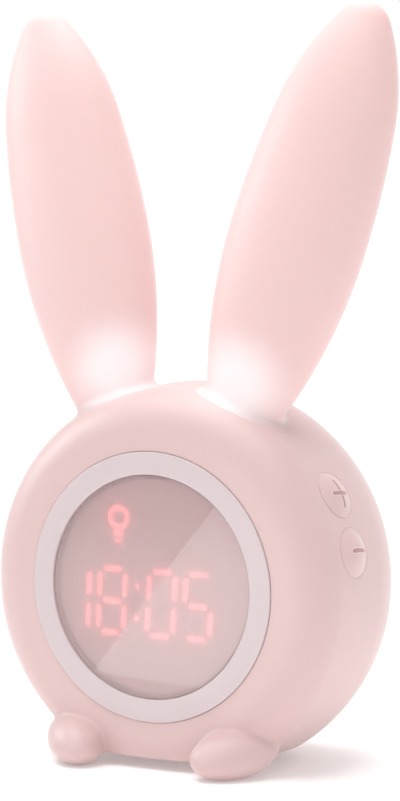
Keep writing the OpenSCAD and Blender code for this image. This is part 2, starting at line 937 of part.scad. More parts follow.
// Wall that stands up behind the chassis plate and carries a switch board
module switch_wall(side) {
    intersection() {
        in_keys(side)
            translate([-switch_board_l / 2, -far / 2, switch_board_back - side_wall_t])
                cube([switch_board_l, far, side_wall_t]);
        in_case() plate(-far / 2, -far / 2, far, far,
                        button_front - switch_board_w / 2, chassis_back + bite);
    }
}

module chassis_screws() {
    color("#9a9a9e") in_case() for (angle = chassis_screw_angles)
        rotate([0, 0, angle]) translate([chassis_screw_circle, 0, chassis_back])
            screw(screw_d, chassis_t + chassis_pilot_l - 1, screw_head_d, screw_head_t);
}

module main_board() {
    color("#2f5a3c") difference() {
        in_case() plate(-main_w / 2, main_up - main_h / 2, main_w, main_h,
                        main_face - board_t, main_face);
        in_case() for (place = main_screw_places)
            translate([place[0], place[1], main_face - board_t - 1])
                cylinder(d = small_screw_d + 2 * pilot_gap, h = board_t + 2);
    }
}

// Chips, coils and plugs: [x, y, width, height, how far they stand off the board]
component_boxes = [
    [-6, 8, 9, 9, 1.4],
    [8, 12, 5, 4, 1.2],
    [-18, 14, 6, 3, 2.2],
    [13.5, 4, 7, 5, 5],
    [-14, 2, 7, 5, 5],
    [2, 23, 7, 4, 5],
    [-10, 23, 7, 4, 5],
];
// Round capacitors: [x, y, radius, how far they stand off the board]
component_cans = [[12, 19, 2.5, 6.5], [5, 2, 2, 5], [-17, 8.5, 1.8, 4]];

module board_components() {
    color("#33343a") in_case() {
        for (c = component_boxes)
            plate(c[0] - c[2] / 2, c[1] - c[3] / 2, c[2], c[3],
                  main_face - board_t - c[4], main_face - board_t);
        for (c = component_cans)
            translate([c[0], c[1], main_face - board_t - c[3]]) cylinder(r = c[2], h = c[3]);
    }
}

module board_screws() {
    color("#9a9a9e") {
        in_case() {
            for (place = main_screw_places)
                translate([place[0], place[1], main_face - board_t])
                    screw(small_screw_d, small_screw_l, small_head_d, small_head_t);
            for (side = [-1, 1])
                translate([side * strap_post_x, battery_up, battery_back - strap_t])
                    screw(small_screw_d, small_screw_l, small_head_d, small_head_t);
        }
        for (side = [-1, 1], end = [-1, 1])
            in_keys(side) translate([end * switch_screw_x, 0, switch_board_face])
                mirror([0, 0, 1])
                    screw(small_screw_d, board_t + side_wall_t, small_head_d, small_head_t);
    }
}

module battery() {
    edge = 1.5;
    color("#6f87a8") in_case()
        translate([0, battery_up, battery_back]) linear_extrude(battery_t) {
            square([battery_w - 2 * edge, battery_h], center = true);
            square([battery_w, battery_h - 2 * edge], center = true);
            for (x = [-1, 1], y = [-1, 1])
                translate([x * (battery_w / 2 - edge), y * (battery_h / 2 - edge)]) circle(edge);
        }
}

module battery_pad() {
    color("#d9d6cf") in_case()
        plate(-battery_w / 2 + 2, battery_up - battery_h / 2 + 2, battery_w - 4, battery_h - 4,
              chassis_back - battery_pad_t, chassis_back);
}

module battery_strap() {
    color("#ecebe8") difference() {
        in_case() translate([0, battery_up, battery_back - strap_t])
            linear_extrude(strap_t) oval(strap_post_x, strap_w / 2);
        in_case() for (side = [-1, 1])
            translate([side * strap_post_x, battery_up, battery_back - strap_t - 1])
                cylinder(d = small_screw_d + 2 * pilot_gap, h = strap_t + 2);
    }
}

module switch_board(side) {
    in_keys(side) difference() {
        translate([-switch_board_l / 2, -switch_board_w / 2, switch_board_back])
            cube([switch_board_l, switch_board_w, board_t]);
        for (end = [-1, 1])
            translate([end * switch_screw_x, 0, switch_board_back - 1])
                cylinder(d = small_screw_d + 2 * pilot_gap, h = board_t + 2);
    }
}

module switch_board_left() {
    color("#2f5a3c") switch_board(-1);
}

module switch_board_right() {
    color("#2f5a3c") switch_board(1);
}

module switches(side) {
    in_keys(side) for (end = [-1, 1])
        translate([end * button_pitch / 2, 0, switch_board_face]) {
            translate([-switch_w / 2, -switch_w / 2, 0]) cube([switch_w, switch_w, switch_h]);
            cylinder(r = plunger_r, h = switch_h + plunger_l);
        }
}

module switches_left() {
    color("#33343a") switches(-1);
}

module switches_right() {
    color("#33343a") switches(1);
}

module speaker() {
    frame_t = 1;
    magnet_r = speaker_d / 4;
    face = -cover_inner + gasket_t;
    color("#3a3b3f") in_case() translate([0, speaker_up, face]) rotate_extrude() polygon([
        [0, 0.8],
        [speaker_d / 8, 0.8],
        [speaker_d / 4, 2],
        [speaker_d / 2 - 3, 0.6],
        [speaker_d / 2 - 2, 0],
        [speaker_d / 2, 0],
        [speaker_d / 2, frame_t],
        [speaker_d / 2 - 2, frame_t],
        [magnet_r + 2, speaker_t - 3],
        [magnet_r, speaker_t - 3],
        [magnet_r, speaker_t],
        [0, speaker_t],
    ]);
}

module speaker_gasket() {
    color("#26272a") in_case() translate([0, speaker_up, -cover_inner]) difference() {
        cylinder(d = speaker_d, h = gasket_t);
        translate([0, 0, -1]) cylinder(d = speaker_d - 2 * gasket_w, h = gasket_t + 2);
    }
}

module charge_board() {
    color("#2f5a3c") in_case()
        plate(-charge_board_w / 2, socket_up - socket_h / 2 - board_t, charge_board_w, board_t,
              -cover_inner, -cover_inner + charge_board_l);
}

module charge_socket() {
    half = (socket_w - socket_h) / 2;
    tongue_w = 6.6;
    tongue_t = 0.7;
    color("#c9ccd1") in_case() translate([0, socket_up, -rear_depth]) {
        difference() {
            linear_extrude(socket_l) oval(half, socket_h / 2);
            translate([0, 0, -1]) linear_extrude(socket_l) oval(half, socket_h / 2 - socket_wall);
        }
        plate(-tongue_w / 2, -tongue_t / 2, tongue_w, tongue_t, 0.8, socket_l);
    }
}

// ---------- buttons ----------

module button(side, end) {
    offset_x = end * button_pitch / 2;
    dome_centre = button_surface_r + button_dome - button_dome_r;
    in_keys(side) {
        intersection() {
            translate([offset_x, 0, button_seat - flange_gap - flange_t])
                cylinder(d = button_d, h = far);
            translate([dome_centre * sin(end * button_spread), 0, dome_centre * cos(button_spread)])
                sphere(button_dome_r);
        }
        translate([offset_x, 0, button_seat - flange_gap - flange_t])
            cylinder(r = flange_r, h = flange_t);
        translate([offset_x, 0, stem_end]) cylinder(r = stem_r, h = stem_l + flange_t);
    }
}

module plus_button() {
    color("#f0d6d4") button(1, 1);
}

module minus_button() {
    color("#f0d6d4") button(1, -1);
}

module mode_button() {
    color("#f0d6d4") button(-1, 1);
}

module set_button() {
    color("#f0d6d4") button(-1, -1);
}

case_shell();
rear_cover();
cover_screws();
base_pad();
ear_left();
ear_right();
ear_cup_left();
ear_cup_right();
ear_board_left();
ear_board_right();
ear_leds();
bezel_ring();
lens();
display_block();
lit_bars();
dark_bars();
colon_dots();
lamp_sign();
display_board();
display_leds();
chassis();
chassis_screws();
main_board();
board_components();
board_screws();
battery();
battery_pad();
battery_strap();
switch_board_left();
switch_board_right();
switches_left();
switches_right();
speaker();
speaker_gasket();
charge_board();
charge_socket();
plus_button();
minus_button();
mode_button();
set_button();
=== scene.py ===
"""Bedside alarm clock with a night light in its two long ears: pieces, finishes and studio."""

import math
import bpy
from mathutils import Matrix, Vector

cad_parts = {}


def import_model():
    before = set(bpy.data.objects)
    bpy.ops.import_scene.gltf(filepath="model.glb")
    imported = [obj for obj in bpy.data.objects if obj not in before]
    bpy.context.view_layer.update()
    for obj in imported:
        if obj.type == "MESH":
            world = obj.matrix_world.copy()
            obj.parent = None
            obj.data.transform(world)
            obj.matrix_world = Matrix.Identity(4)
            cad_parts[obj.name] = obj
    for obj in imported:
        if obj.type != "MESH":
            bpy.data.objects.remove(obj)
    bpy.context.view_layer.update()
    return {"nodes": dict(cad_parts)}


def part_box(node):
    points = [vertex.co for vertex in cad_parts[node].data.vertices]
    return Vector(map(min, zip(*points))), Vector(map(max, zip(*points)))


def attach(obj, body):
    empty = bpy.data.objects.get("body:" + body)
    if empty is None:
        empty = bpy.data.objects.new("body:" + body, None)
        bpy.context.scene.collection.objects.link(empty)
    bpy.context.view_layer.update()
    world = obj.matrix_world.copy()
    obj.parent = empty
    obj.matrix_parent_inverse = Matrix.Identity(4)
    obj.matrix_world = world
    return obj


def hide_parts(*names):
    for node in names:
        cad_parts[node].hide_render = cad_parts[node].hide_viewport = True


bl_info = {
    "name": "Bedside alarm clock with ear lights",
    "version": (1, 0, 0),
    "blender": (4, 5, 0),
    "location": "View3D > Sidebar > Clock",
    "description": "Builds the visible pieces and finishes of a bedside alarm clock",
    "category": "Object",
}

import bmesh
import bpy
import numpy as np
from bpy.props import FloatProperty, FloatVectorProperty, IntProperty, PointerProperty
from mathutils import Matrix, Vector

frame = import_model()

MM = 0.001
_, SHELL_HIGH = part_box("case_shell")
_, COVER_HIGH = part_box("rear_cover")
RING_LOW, RING_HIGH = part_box("bezel_ring")
LENS_LOW, LENS_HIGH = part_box("lens")
BLOCK_LOW, BLOCK_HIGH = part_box("display_block")
BARS_LOW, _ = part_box("lit_bars")
DOTS_LOW, DOTS_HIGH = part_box("colon_dots")
SOCKET_LOW, SOCKET_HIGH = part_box("charge_socket")
SPEAKER_LOW, SPEAKER_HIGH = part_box("speaker")

CENTRE = (RING_LOW.z + RING_HIGH.z) / 2  # height of the case's axis
CASE_R = SHELL_HIGH.x
JOINT = SHELL_HIGH.y  # where the shell meets the rear cover
COVER_BACK = COVER_HIGH.y
RING_FACE = RING_LOW.y
RING_R = RING_HIGH.x
LENS_R = LENS_HIGH.x
SEAT_GAP = 0.1 * MM  # round a piece in its seat
FAR = 1.0  # past everything on the clock


class ClockSizes(bpy.types.PropertyGroup):
    front_depth: FloatProperty(
        name="Front depth", description="From the widest plane to the flat front",
        default=0.0313, unit="LENGTH",
    )
    front_edge: FloatProperty(
        name="Front edge", description="Radius of the rounded front edge",
        default=0.0121, unit="LENGTH",
    )
    front_draft: FloatProperty(
        name="Front draft", description="Narrowing up to the front edge",
        default=0.0011, unit="LENGTH",
    )
    rear_edge: FloatProperty(
        name="Rear edge", description="Radius of the rounded rear edge",
        default=0.0086, unit="LENGTH",
    )
    rear_draft: FloatProperty(
        name="Rear draft", description="Narrowing up to the rear edge",
        default=0.0153, unit="LENGTH",
    )
    wall: FloatProperty(
        name="Wall", description="Thickness of the case's wall", default=0.0024, unit="LENGTH"
    )
    underside: FloatProperty(
        name="Underside", description="Height of the flat underside", default=0.0029, unit="LENGTH"
    )
    foot_blend: FloatProperty(
        name="Foot blend", description="How softly the feet run into the case",
        default=0.0014, unit="LENGTH",
    )
    ear_fillet: FloatProperty(
        name="Ear fillet", description="How softly the ears run into the case",
        default=0.0034, unit="LENGTH",
    )
    groove: FloatProperty(
        name="Groove", description="Chamfer round the recess of the ring",
        default=0.00012, unit="LENGTH",
    )
    button_dome: FloatProperty(
        name="Button dome", description="Radius of the part that rises from the case",
        default=0.0061, unit="LENGTH",
    )
    grain: FloatProperty(
        name="Mesh size", description="Length of a face of the moulded case",
        default=0.0008, unit="LENGTH",
    )
    turn_steps: IntProperty(
        name="Turn steps", description="Faces round a turned piece", default=192, min=48
    )
    mark_proud: FloatProperty(
        name="Mark height", description="How far a sign stands off its dome",
        default=0.0001, unit="LENGTH",
    )
    bar_width: FloatProperty(
        name="Bar width", description="Width of a lit bar of the figures",
        default=0.0015, unit="LENGTH",
    )
    bar_gap: FloatProperty(
        name="Bar gap", description="From a figure's corner to a lit bar",
        default=0.0013, unit="LENGTH",
    )
    halo: FloatProperty(
        name="Halo", description="Reach of the glow round a lit bar", default=0.0020, unit="LENGTH"
    )


class ClockColours(bpy.types.PropertyGroup):
    case: FloatVectorProperty(
        name="Case", description="Satin plastic of the case",
        subtype="COLOR", default=(0.71, 0.515, 0.505),
    )
    ear: FloatVectorProperty(
        name="Ears", description="Soft skin of the ears",
        subtype="COLOR", default=(0.83, 0.585, 0.57),
    )
    # On the case round the ear roots this pale tint is painted light, the ears' glow falling on the
    # head.
    glow: FloatVectorProperty(
        name="Ear light", description="Skin over the light in the roots",
        subtype="COLOR", default=(0.94, 0.84, 0.85),
    )
    ring: FloatVectorProperty(
        name="Ring", description="Pearly bezel ring", subtype="COLOR", default=(0.67, 0.565, 0.58)
    )
    lens: FloatVectorProperty(
        name="Lens", description="Tinted lens", subtype="COLOR", default=(0.70, 0.50, 0.50)
    )
    lamp: FloatVectorProperty(
        name="Figures", description="Light of the lit bars",
        subtype="COLOR", default=(1.0, 0.13, 0.15),
    )
    mark: FloatVectorProperty(
        name="Signs", description="Signs on the buttons",
        subtype="COLOR", default=(0.50, 0.29, 0.29),
    )
    # The pale edge round each sign is a painted highlight, standing for light on the sign's rim.
    mark_edge: FloatVectorProperty(
        name="Sign edges", description="Pale edge round each sign",
        subtype="COLOR", default=(0.80, 0.64, 0.63),
    )
    floor: FloatVectorProperty(
        name="Floor", description="Floor and backdrop", subtype="COLOR", default=(0.90, 0.90, 0.90)
    )


class StudioLight(bpy.types.PropertyGroup):
    sky: FloatProperty(name="Sky", description="Even light from all round", default=0.56, min=0)
    key: FloatProperty(
        name="Key light", description="Power of the large light overhead", default=14.0, min=0
    )
    rim: FloatProperty(
        name="Rim light", description="Power of the sheen from the left", default=2.0, min=0
    )
    card: FloatProperty(
        name="Lens card", description="Power of the card that the lens mirrors",
        default=0.035, min=0,
    )


# ---------- shapes ----------


def corners_in(geom):
    """The corners among the things that an operation made."""
    return [v for v in geom if isinstance(v, bmesh.types.BMVert)]


def outline(bm, start, *moves):
    """Draws an outline across x and y.

    (x, y) is a straight run to that point, (x, y, degrees, steps) an arc round that point.
    """
    last = bm.verts.new((start[0], start[1], 0))
    for move in moves:
        if len(move) == 2:
            new = bm.verts.new((move[0], move[1], 0))
            bm.edges.new((last, new))
            last = new
        else:
            x, y, degrees, steps = move
            angle = math.radians(degrees)
            arc = bmesh.ops.spin(
                bm, geom=[last], cent=(x, y, 0), axis=(0, 0, 1), angle=angle, steps=steps
            )
            last = corners_in(arc["geom_last"])[0]


def tidy(bm):
    """Merges doubled corners and turns every face outwards."""
    bmesh.ops.remove_doubles(bm, verts=bm.verts, dist=1e-7)
    bmesh.ops.recalc_face_normals(bm, faces=bm.faces)


def turn(bm, steps, axis=(0, 1, 0)):
    """Turns the outline fully round an axis through the origin."""
    whole = bm.verts[:] + bm.edges[:]
    bmesh.ops.spin(
        bm, geom=whole, cent=(0, 0, 0), axis=axis, angle=math.tau, steps=steps, use_merge=True
    )
    tidy(bm)


def turned(steps, *points):
    """A closed solid turned from its outline round the case's axis."""
    bm = bmesh.new()
    outline(bm, *points)
    turn(bm, steps)
    bmesh.ops.translate(bm, verts=bm.verts, vec=(0, 0, CENTRE))
    return bm


def place(bm, matrix):
    """Puts a piece in its frame, with its faces outwards also where the frame mirrors it."""
    bmesh.ops.transform(bm, matrix=matrix, verts=bm.verts)
    bmesh.ops.recalc_face_normals(bm, faces=bm.faces)


def rod(radius, low, high, steps=64):
    """A closed cylinder along z."""
    bm = bmesh.new()
    bmesh.ops.create_cone(
        bm, cap_ends=True, segments=steps, radius1=radius, radius2=radius, depth=high - low
    )
    bmesh.ops.translate(bm, verts=bm.verts, vec=(0, 0, (low + high) / 2))
    return bm


def slot_rod(half, radius, low, high):
    """A closed rod along z with straight flanks and round ends along x."""
    bm = rod(radius, low, high, 48)
    for v in bm.verts:
        v.co.x += math.copysign(half, v.co.x) if abs(v.co.x) > 1e-9 else 0
    return bm


def corners(mesh):
    co = np.empty(len(mesh.vertices) * 3)
    mesh.vertices.foreach_get("co", co)
    return co.reshape(-1, 3)


def set_corners(mesh, co):
    mesh.vertices.foreach_set("co", co.ravel())
    mesh.update()


def loose(name, bm):
    """An object that holds a bmesh, not yet a piece of the clock."""
    mesh = bpy.data.meshes.new(name)
    bm.to_mesh(mesh)
    bm.free()
    o = bpy.data.objects.new(name, mesh)
    bpy.context.scene.collection.objects.link(o)
    return o


def freeze(o):
    """Keeps what the object's modifiers make as its own mesh."""
    bpy.context.view_layer.update()
    seen = o.evaluated_get(bpy.context.evaluated_depsgraph_get())
    mesh = bpy.data.meshes.new_from_object(seen)
    o.modifiers.clear()
    old = o.data
    o.data = mesh
    mesh.name = o.name
    bpy.data.meshes.remove(old)
    if not mesh.polygons:
        raise RuntimeError(f"{o.name} came out empty")


def discard(o):
    mesh = o.data
    bpy.data.objects.remove(o)
    bpy.data.meshes.remove(mesh)


def carve(o, *cutters):
    """Cuts each closed cutter out of an object."""
    helpers = [loose("cutter", bm) for bm in cutters]
    for helper in helpers:
        m = o.modifiers.new("cut", "BOOLEAN")
        m.object, m.operation, m.solver = helper, "DIFFERENCE", "MANIFOLD"
    freeze(o)
    for helper in helpers:
        discard(helper)


def carved(bm, *cutters):
    """A closed solid with cutters taken out of it, to be a cutter itself."""
    o = loose("carved", bm)
    carve(o, *cutters)
    out = bmesh.new()
    out.from_mesh(o.data)
    discard(o)
    return out


def piece(o, body, slot, table, replaces=(), look="", sharp=32):
    """Makes an object a finished piece of the clock, in its slot's look or one of its own."""
    o.data.shade_smooth()
    o.data.set_sharp_from_angle(angle=math.radians(sharp))
    o.data.materials.clear()
    o.data.materials.append(table[look or slot])
    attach(o, body)
    if replaces:
        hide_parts(*replaces)


# ---------- the form of the case ----------


def end_of_case(sizes, rear):
    """Depth, draft and edge radius of one end of the case."""
    if rear:
        return COVER_BACK, sizes.rear_draft, sizes.rear_edge
    return sizes.front_depth, sizes.front_draft, sizes.front_edge


def side_radius(depth, draft, edge):
    """Radius of the side arc, upright at the widest plane, that meets the edge smoothly."""
    return ((draft + edge) ** 2 + (depth - edge) ** 2 - edge**2) / (2 * draft)


def end_gap(sizes, across, along, rear):
    """Distance from the case's outer surface, for places on one side of the widest plane."""
    depth, draft, edge = end_of_case(sizes, rear)
    side = side_radius(depth, draft, edge)
    flat_r = CASE_R - draft - edge
    middle = CASE_R - side
    past = (along - depth + edge) * (flat_r - middle) - (across - flat_r) * (depth - edge)
    on_edge = np.hypot(across - flat_r, along - depth + edge) - edge
    on_side = np.hypot(across - middle, along) - side
    beyond = np.where(past > 0, on_edge, on_side)
    return np.where(across < flat_r, np.maximum(along - depth, on_side), beyond)


def case_gap(sizes, p):
    across = np.hypot(p[:, 0], p[:, 2] - CENTRE)
    rear, front = end_gap(sizes, across, p[:, 1], True), end_gap(sizes, across, -p[:, 1], False)
    return np.where(p[:, 1] > 0, rear, front)


def soft_min(a, b, reach):
    """The nearer of two distances, rounded where they meet."""
    near = np.clip(1 - np.abs(a - b) / reach, 0, 1)
    return np.minimum(a, b) - near * near * reach / 4


def soft_max(a, b, reach):
    return -soft_min(-a, -b, reach)


UNDERSIDE_EDGE, SOLE_EDGE = 1.6 * MM, 0.5 * MM  # how softly the underside and the soles begin
FOOT_HALF = np.array([8.65, 13.55, 7.2]) * MM
FOOT_PLACE = Vector((25.85 * MM, -28.6 * MM, 6.94 * MM))
TOE_IN, FOOT_RISE = math.radians(-33.6), math.radians(7.4)
FOOT_TURN = Matrix.Rotation(TOE_IN, 3, "Z") @ Matrix.Rotation(FOOT_RISE, 3, "X")


def foot_gap(p):
    """Distance from the nearer foot, an egg whose toe turns inwards."""
    q = (np.c_[np.abs(p[:, 0]), p[:, 1:]] - np.array(FOOT_PLACE)) @ np.array(FOOT_TURN)
    out = np.linalg.norm(q / FOOT_HALF, axis=1)
    return out * (out - 1) / np.maximum(np.linalg.norm(q / FOOT_HALF**2, axis=1), 1e-9)


def housing_gap(sizes, p):
    """Distance from the outside of the moulded case with its flat underside and its feet."""
    case = soft_max(case_gap(sizes, p), sizes.underside - p[:, 2], UNDERSIDE_EDGE)
    both = soft_min(case, foot_gap(p), sizes.foot_blend)
    return soft_max(both, -p[:, 2], SOLE_EDGE)


def slope(gap, p, step=2e-6):
    """Which way, and how fast, a distance grows at each place."""
    ahead = [gap(p + step * np.eye(3)[i]) - gap(p - step * np.eye(3)[i]) for i in range(3)]
    return np.stack(ahead, 1) / (2 * step)


def settle(gap, p, rounds=7):
    """Moves points straight onto the surface where the distance is nothing."""
    for _ in range(rounds):
        g = slope(gap, p)
        away = gap(p)
        p = p - np.clip(away, -MM, MM)[:, None] * g / np.maximum((g * g).sum(1), 0.05)[:, None]
    return p


ON_SURFACE = 4e-6  # a corner this near to a settled surface lies on it
ALIKE = 0.9  # cosine between a face and the surface, above which the face is part of it


def smooth_normals(mesh, gap):
    """Gives each corner on the settled surface that surface's own normal."""
    co = corners(mesh)
    g = slope(gap, co)
    g /= np.maximum(np.linalg.norm(g, axis=1), 1e-9)[:, None]
    on = np.abs(gap(co)) < ON_SURFACE
    vertex = np.empty(len(mesh.loops), np.int32)
    mesh.loops.foreach_get("vertex_index", vertex)
    total = np.empty(len(mesh.polygons), np.int32)
    mesh.polygons.foreach_get("loop_total", total)
    face = np.empty(len(mesh.polygons) * 3)
    mesh.polygons.foreach_get("normal", face)
    face = np.repeat(face.reshape(-1, 3), total, axis=0)
    keep = on[vertex] & ((face * g[vertex]).sum(1) > ALIKE)
    mesh.normals_split_custom_set(np.where(keep[:, None], g[vertex], 0).tolist())


def case_points(sizes, inset, steps=24):
    """Outline of the case from the middle of its front to the middle of its back, inset evenly."""
    moves = []
    for rear in (False, True):
        depth, draft, edge = end_of_case(sizes, rear)
        side = side_radius(depth, draft, edge)
        flat_r, middle = CASE_R - draft - edge, CASE_R - side
        lean = math.degrees(math.atan2(depth - edge, flat_r - middle))
        if rear:
            moves += [
                (middle, 0, lean, steps), (flat_r, depth - edge, 90 - lean, steps),
                (0, depth - inset),
            ]
        else:
            start = (0, -(depth - inset))
            moves += [
                (flat_r, -(depth - inset)), (flat_r, -(depth - edge), 90 - lean, steps),
                (middle, 0, lean, steps),
            ]
    return start, *moves


def case_solid(sizes, inset, steps):
    return turned(steps, *case_points(sizes, inset))


def block(low, high):
    """A closed box between two corners."""
    bm = bmesh.new()
    bmesh.ops.create_cube(bm, size=1)
    size = Vector(high) - Vector(low)
    bmesh.ops.scale(bm, vec=size, verts=bm.verts)
    bmesh.ops.translate(bm, vec=Vector(low) + size / 2, verts=bm.verts)
    return bm


def to_depth(bm):
    """Lays a rod along z down along y, from the case's axis, with its x and height kept."""
    place(bm, Matrix.Translation((0, 0, CENTRE)) @ Matrix.Rotation(math.radians(-90), 4, "X"))
    return bm


def round_case(angle, radius):
    """A place round the case's axis, across and up from it."""
    angle = math.radians(angle)
    return Vector((radius * math.cos(angle), 0, radius * math.sin(angle)))


# ---------- frames of the buttons and the ears ----------

BUTTON_R = 7 * MM
BUTTON_PITCH = 16.9 * MM
BUTTON_FRONT = 13 * MM
BUTTON_ANGLE = 20.2
BUTTON_RISE, DOME_BLEND = 1.8 * MM, 0.9 * MM
EAR_PITCH = 43.3 * MM
EAR_FRONT = 14.3 * MM
EAR_TILT, EAR_LEAN = 16.1, 6.5
EAR_LENGTH = 118 * MM
EAR_THIN = 0.6
NECK_HALF, NECK_R = 5 * MM, 6.4 * MM
EAR_LIGHTS = ((-1, (-6, -4, 7)), (1, (-1, -4.5, 6)))  # side, and place in the ear's frame in mm


def front_radius(sizes, along):
    side = side_radius(*end_of_case(sizes, False))
    return CASE_R - side + np.sqrt(side**2 - along**2)


def keys_frame(side):
    """Frame of the buttons on one side: z out along the travel, x up the case, y to the front."""
    return (
        Matrix.Translation((0, 0, CENTRE))
        @ Matrix.Rotation(math.radians(90), 4, "X")
        @ Matrix.Diagonal((side, 1, 1, 1))
        @ Matrix.Rotation(math.radians(BUTTON_ANGLE), 4, "Z")
        @ Matrix.Translation((0, 0, BUTTON_FRONT))
        @ Matrix.Rotation(math.radians(90), 4, "Z")
        @ Matrix.Rotation(math.radians(90), 4, "X")
    )


def ear_frame(sizes, side):
    """Frame of an ear: z along it from the middle of its root, x across, y through it."""
    up = math.sqrt(front_radius(sizes, EAR_FRONT) ** 2 - (EAR_PITCH / 2) ** 2)
    return (
        Matrix.Diagonal((side, 1, 1, 1))
        @ Matrix.Translation((EAR_PITCH / 2, -EAR_FRONT, CENTRE + up))
        @ Matrix.Rotation(math.radians(-EAR_LEAN), 4, "X")
        @ Matrix.Rotation(math.radians(EAR_TILT), 4, "Y")
    )


def key_top(sizes, end, x, y):
    """Height of a button's top along its travel: flush with the case at its rim, then a dome."""
    rise, reach = BUTTON_RISE, sizes.button_dome
    surface = front_radius(sizes, BUTTON_FRONT)
    spread = math.asin(BUTTON_PITCH / 2 / surface)
    dome = (reach**2 + rise**2) / (2 * rise)
    middle = surface + rise - dome
    away = (x - end * middle * math.sin(spread)) ** 2 + y**2
    flush = np.sqrt(front_radius(sizes, BUTTON_FRONT + y) ** 2 - x**2)
    return soft_max(flush, middle * math.cos(spread) + np.sqrt(dome**2 - away), DOME_BLEND)


# ---------- finishes ----------

PREFIX = "clock_"  # before the name of each finish
GRAIN_HEIGHT = 0.4 * MM
# CASE_GLOW is painted light: the ears' glow falling on the case round their roots, though the case
# is no lamp.
CASE_GLOW, CASE_GLOW_REACH = 0.35, 19 * MM
EAR_GLOW, EAR_GLOW_REACH = 0.85, 21 * MM
GLOW_CORE, GLOW_SHINE = 2 * MM, 0.10


def add_node(m, kind, values=(), **settings):
    """A node of a material, with its settings and the values of its inputs."""
    n = m.node_tree.nodes.new("ShaderNode" + kind)
    for name, value in settings.items():
        setattr(n, name, value)
    for socket, value in dict(values).items():
        n.inputs[socket].default_value = value
    return n


def finish(
    name, colour, vary=0.03, drift=35.0, rough=0.5, blotch=0.06, grain=2600.0, bump=0.015,
    metal=0.0, **sockets,
):
    """A moulded finish: the colour drifts a little, the gloss is uneven and a grain raises it."""
    m = bpy.data.materials.new(name)
    m.use_nodes = True
    link = m.node_tree.links.new
    skin = m.node_tree.nodes["Principled BSDF"]
    at = add_node(m, "TexCoord").outputs["Object"]

    def noise(scale, detail):
        n = add_node(m, "TexNoise", {"Scale": scale, "Detail": detail})
        link(at, n.inputs["Vector"])
        return n.outputs["Fac"]

    low = (*[c * (1 - vary) for c in colour], 1)
    high = (*[min(1, c * (1 + vary)) for c in colour], 1)
    tint = add_node(m, "Mix", {"A": low, "B": high}, data_type="RGBA")
    link(noise(drift, 3), tint.inputs["Factor"])
    link(tint.outputs["Result"], skin.inputs["Base Color"])
    ends = {"To Min": max(0.02, rough - blotch), "To Max": min(1, rough + blotch)}
    gloss = add_node(m, "MapRange", ends)
    link(noise(drift * 9, 4), gloss.inputs["Value"])
    link(gloss.outputs["Result"], skin.inputs["Roughness"])
    relief = add_node(m, "Bump", {"Strength": bump, "Distance": GRAIN_HEIGHT})
    link(noise(grain, 2), relief.inputs["Height"])
    link(relief.outputs["Normal"], skin.inputs["Normal"])
    skin.inputs["Metallic"].default_value = metal
    for socket, value in sockets.items():
        skin.inputs[socket.replace("_", " ")].default_value = value
    return m


def glow_at_roots(m, sizes, colours, share, reach):
    """Pales a skin round the light inside each ear's root, less and less up to the reach; on the
    case this paling and emission are painted light from the ears.
    """
    link = m.node_tree.links.new
    skin = m.node_tree.nodes["Principled BSDF"]
    at = add_node(m, "TexCoord").outputs["Object"]
    nearest = add_node(m, "Math", operation="MINIMUM")
    for i, (side, spot) in enumerate(EAR_LIGHTS):
        lamp = ear_frame(sizes, side) @ (Vector(spot) * MM)
        away = add_node(m, "VectorMath", {1: lamp}, operation="DISTANCE")
        link(at, away.inputs[0])
        link(away.outputs["Value"], nearest.inputs[i])
    ends = {"From Min": reach, "From Max": GLOW_CORE, "To Max": share}
    fade = add_node(m, "MapRange", ends, interpolation_type="SMOOTHERSTEP")
    link(nearest.outputs["Value"], fade.inputs["Value"])
    pale = add_node(m, "Mix", {"B": (*colours.glow, 1)}, data_type="RGBA")
    link(fade.outputs["Result"], pale.inputs["Factor"])
    link(skin.inputs["Base Color"].links[0].from_socket, pale.inputs["A"])
    link(pale.outputs["Result"], skin.inputs["Base Color"])
    shine = add_node(m, "Math", {1: GLOW_SHINE}, operation="MULTIPLY")
    link(fade.outputs["Result"], shine.inputs[0])
    link(shine.outputs["Value"], skin.inputs["Emission Strength"])


def figures_finish(sizes, colours):
    """Tinted film that glows along the lit bars, by each place's distance from the nearest bar."""
    light = (*colours.lamp, 1)
    m = finish(
        PREFIX + "lit_diffuser", colours.lens, vary=0.01, rough=0.45, bump=0.0, Emission_Color=light
    )
    link = m.node_tree.links.new
    away = add_node(m, "Attribute", attribute_name="away")

    def band(dark, bright, strength):
        ends = {"From Min": dark, "From Max": bright, "To Max": strength}
        n = add_node(m, "MapRange", ends, interpolation_type="SMOOTHSTEP")
        link(away.outputs["Fac"], n.inputs["Value"])
        return n.outputs["Result"]

    both = add_node(m, "Math")
    link(band(CORE_EDGE, -CORE_EDGE, LIT_CORE), both.inputs[0])
    link(band(sizes.halo, HALO_START, LIT_HALO), both.inputs[1])
    skin = m.node_tree.nodes["Principled BSDF"]
    link(both.outputs["Value"], skin.inputs["Emission Strength"])
    return m


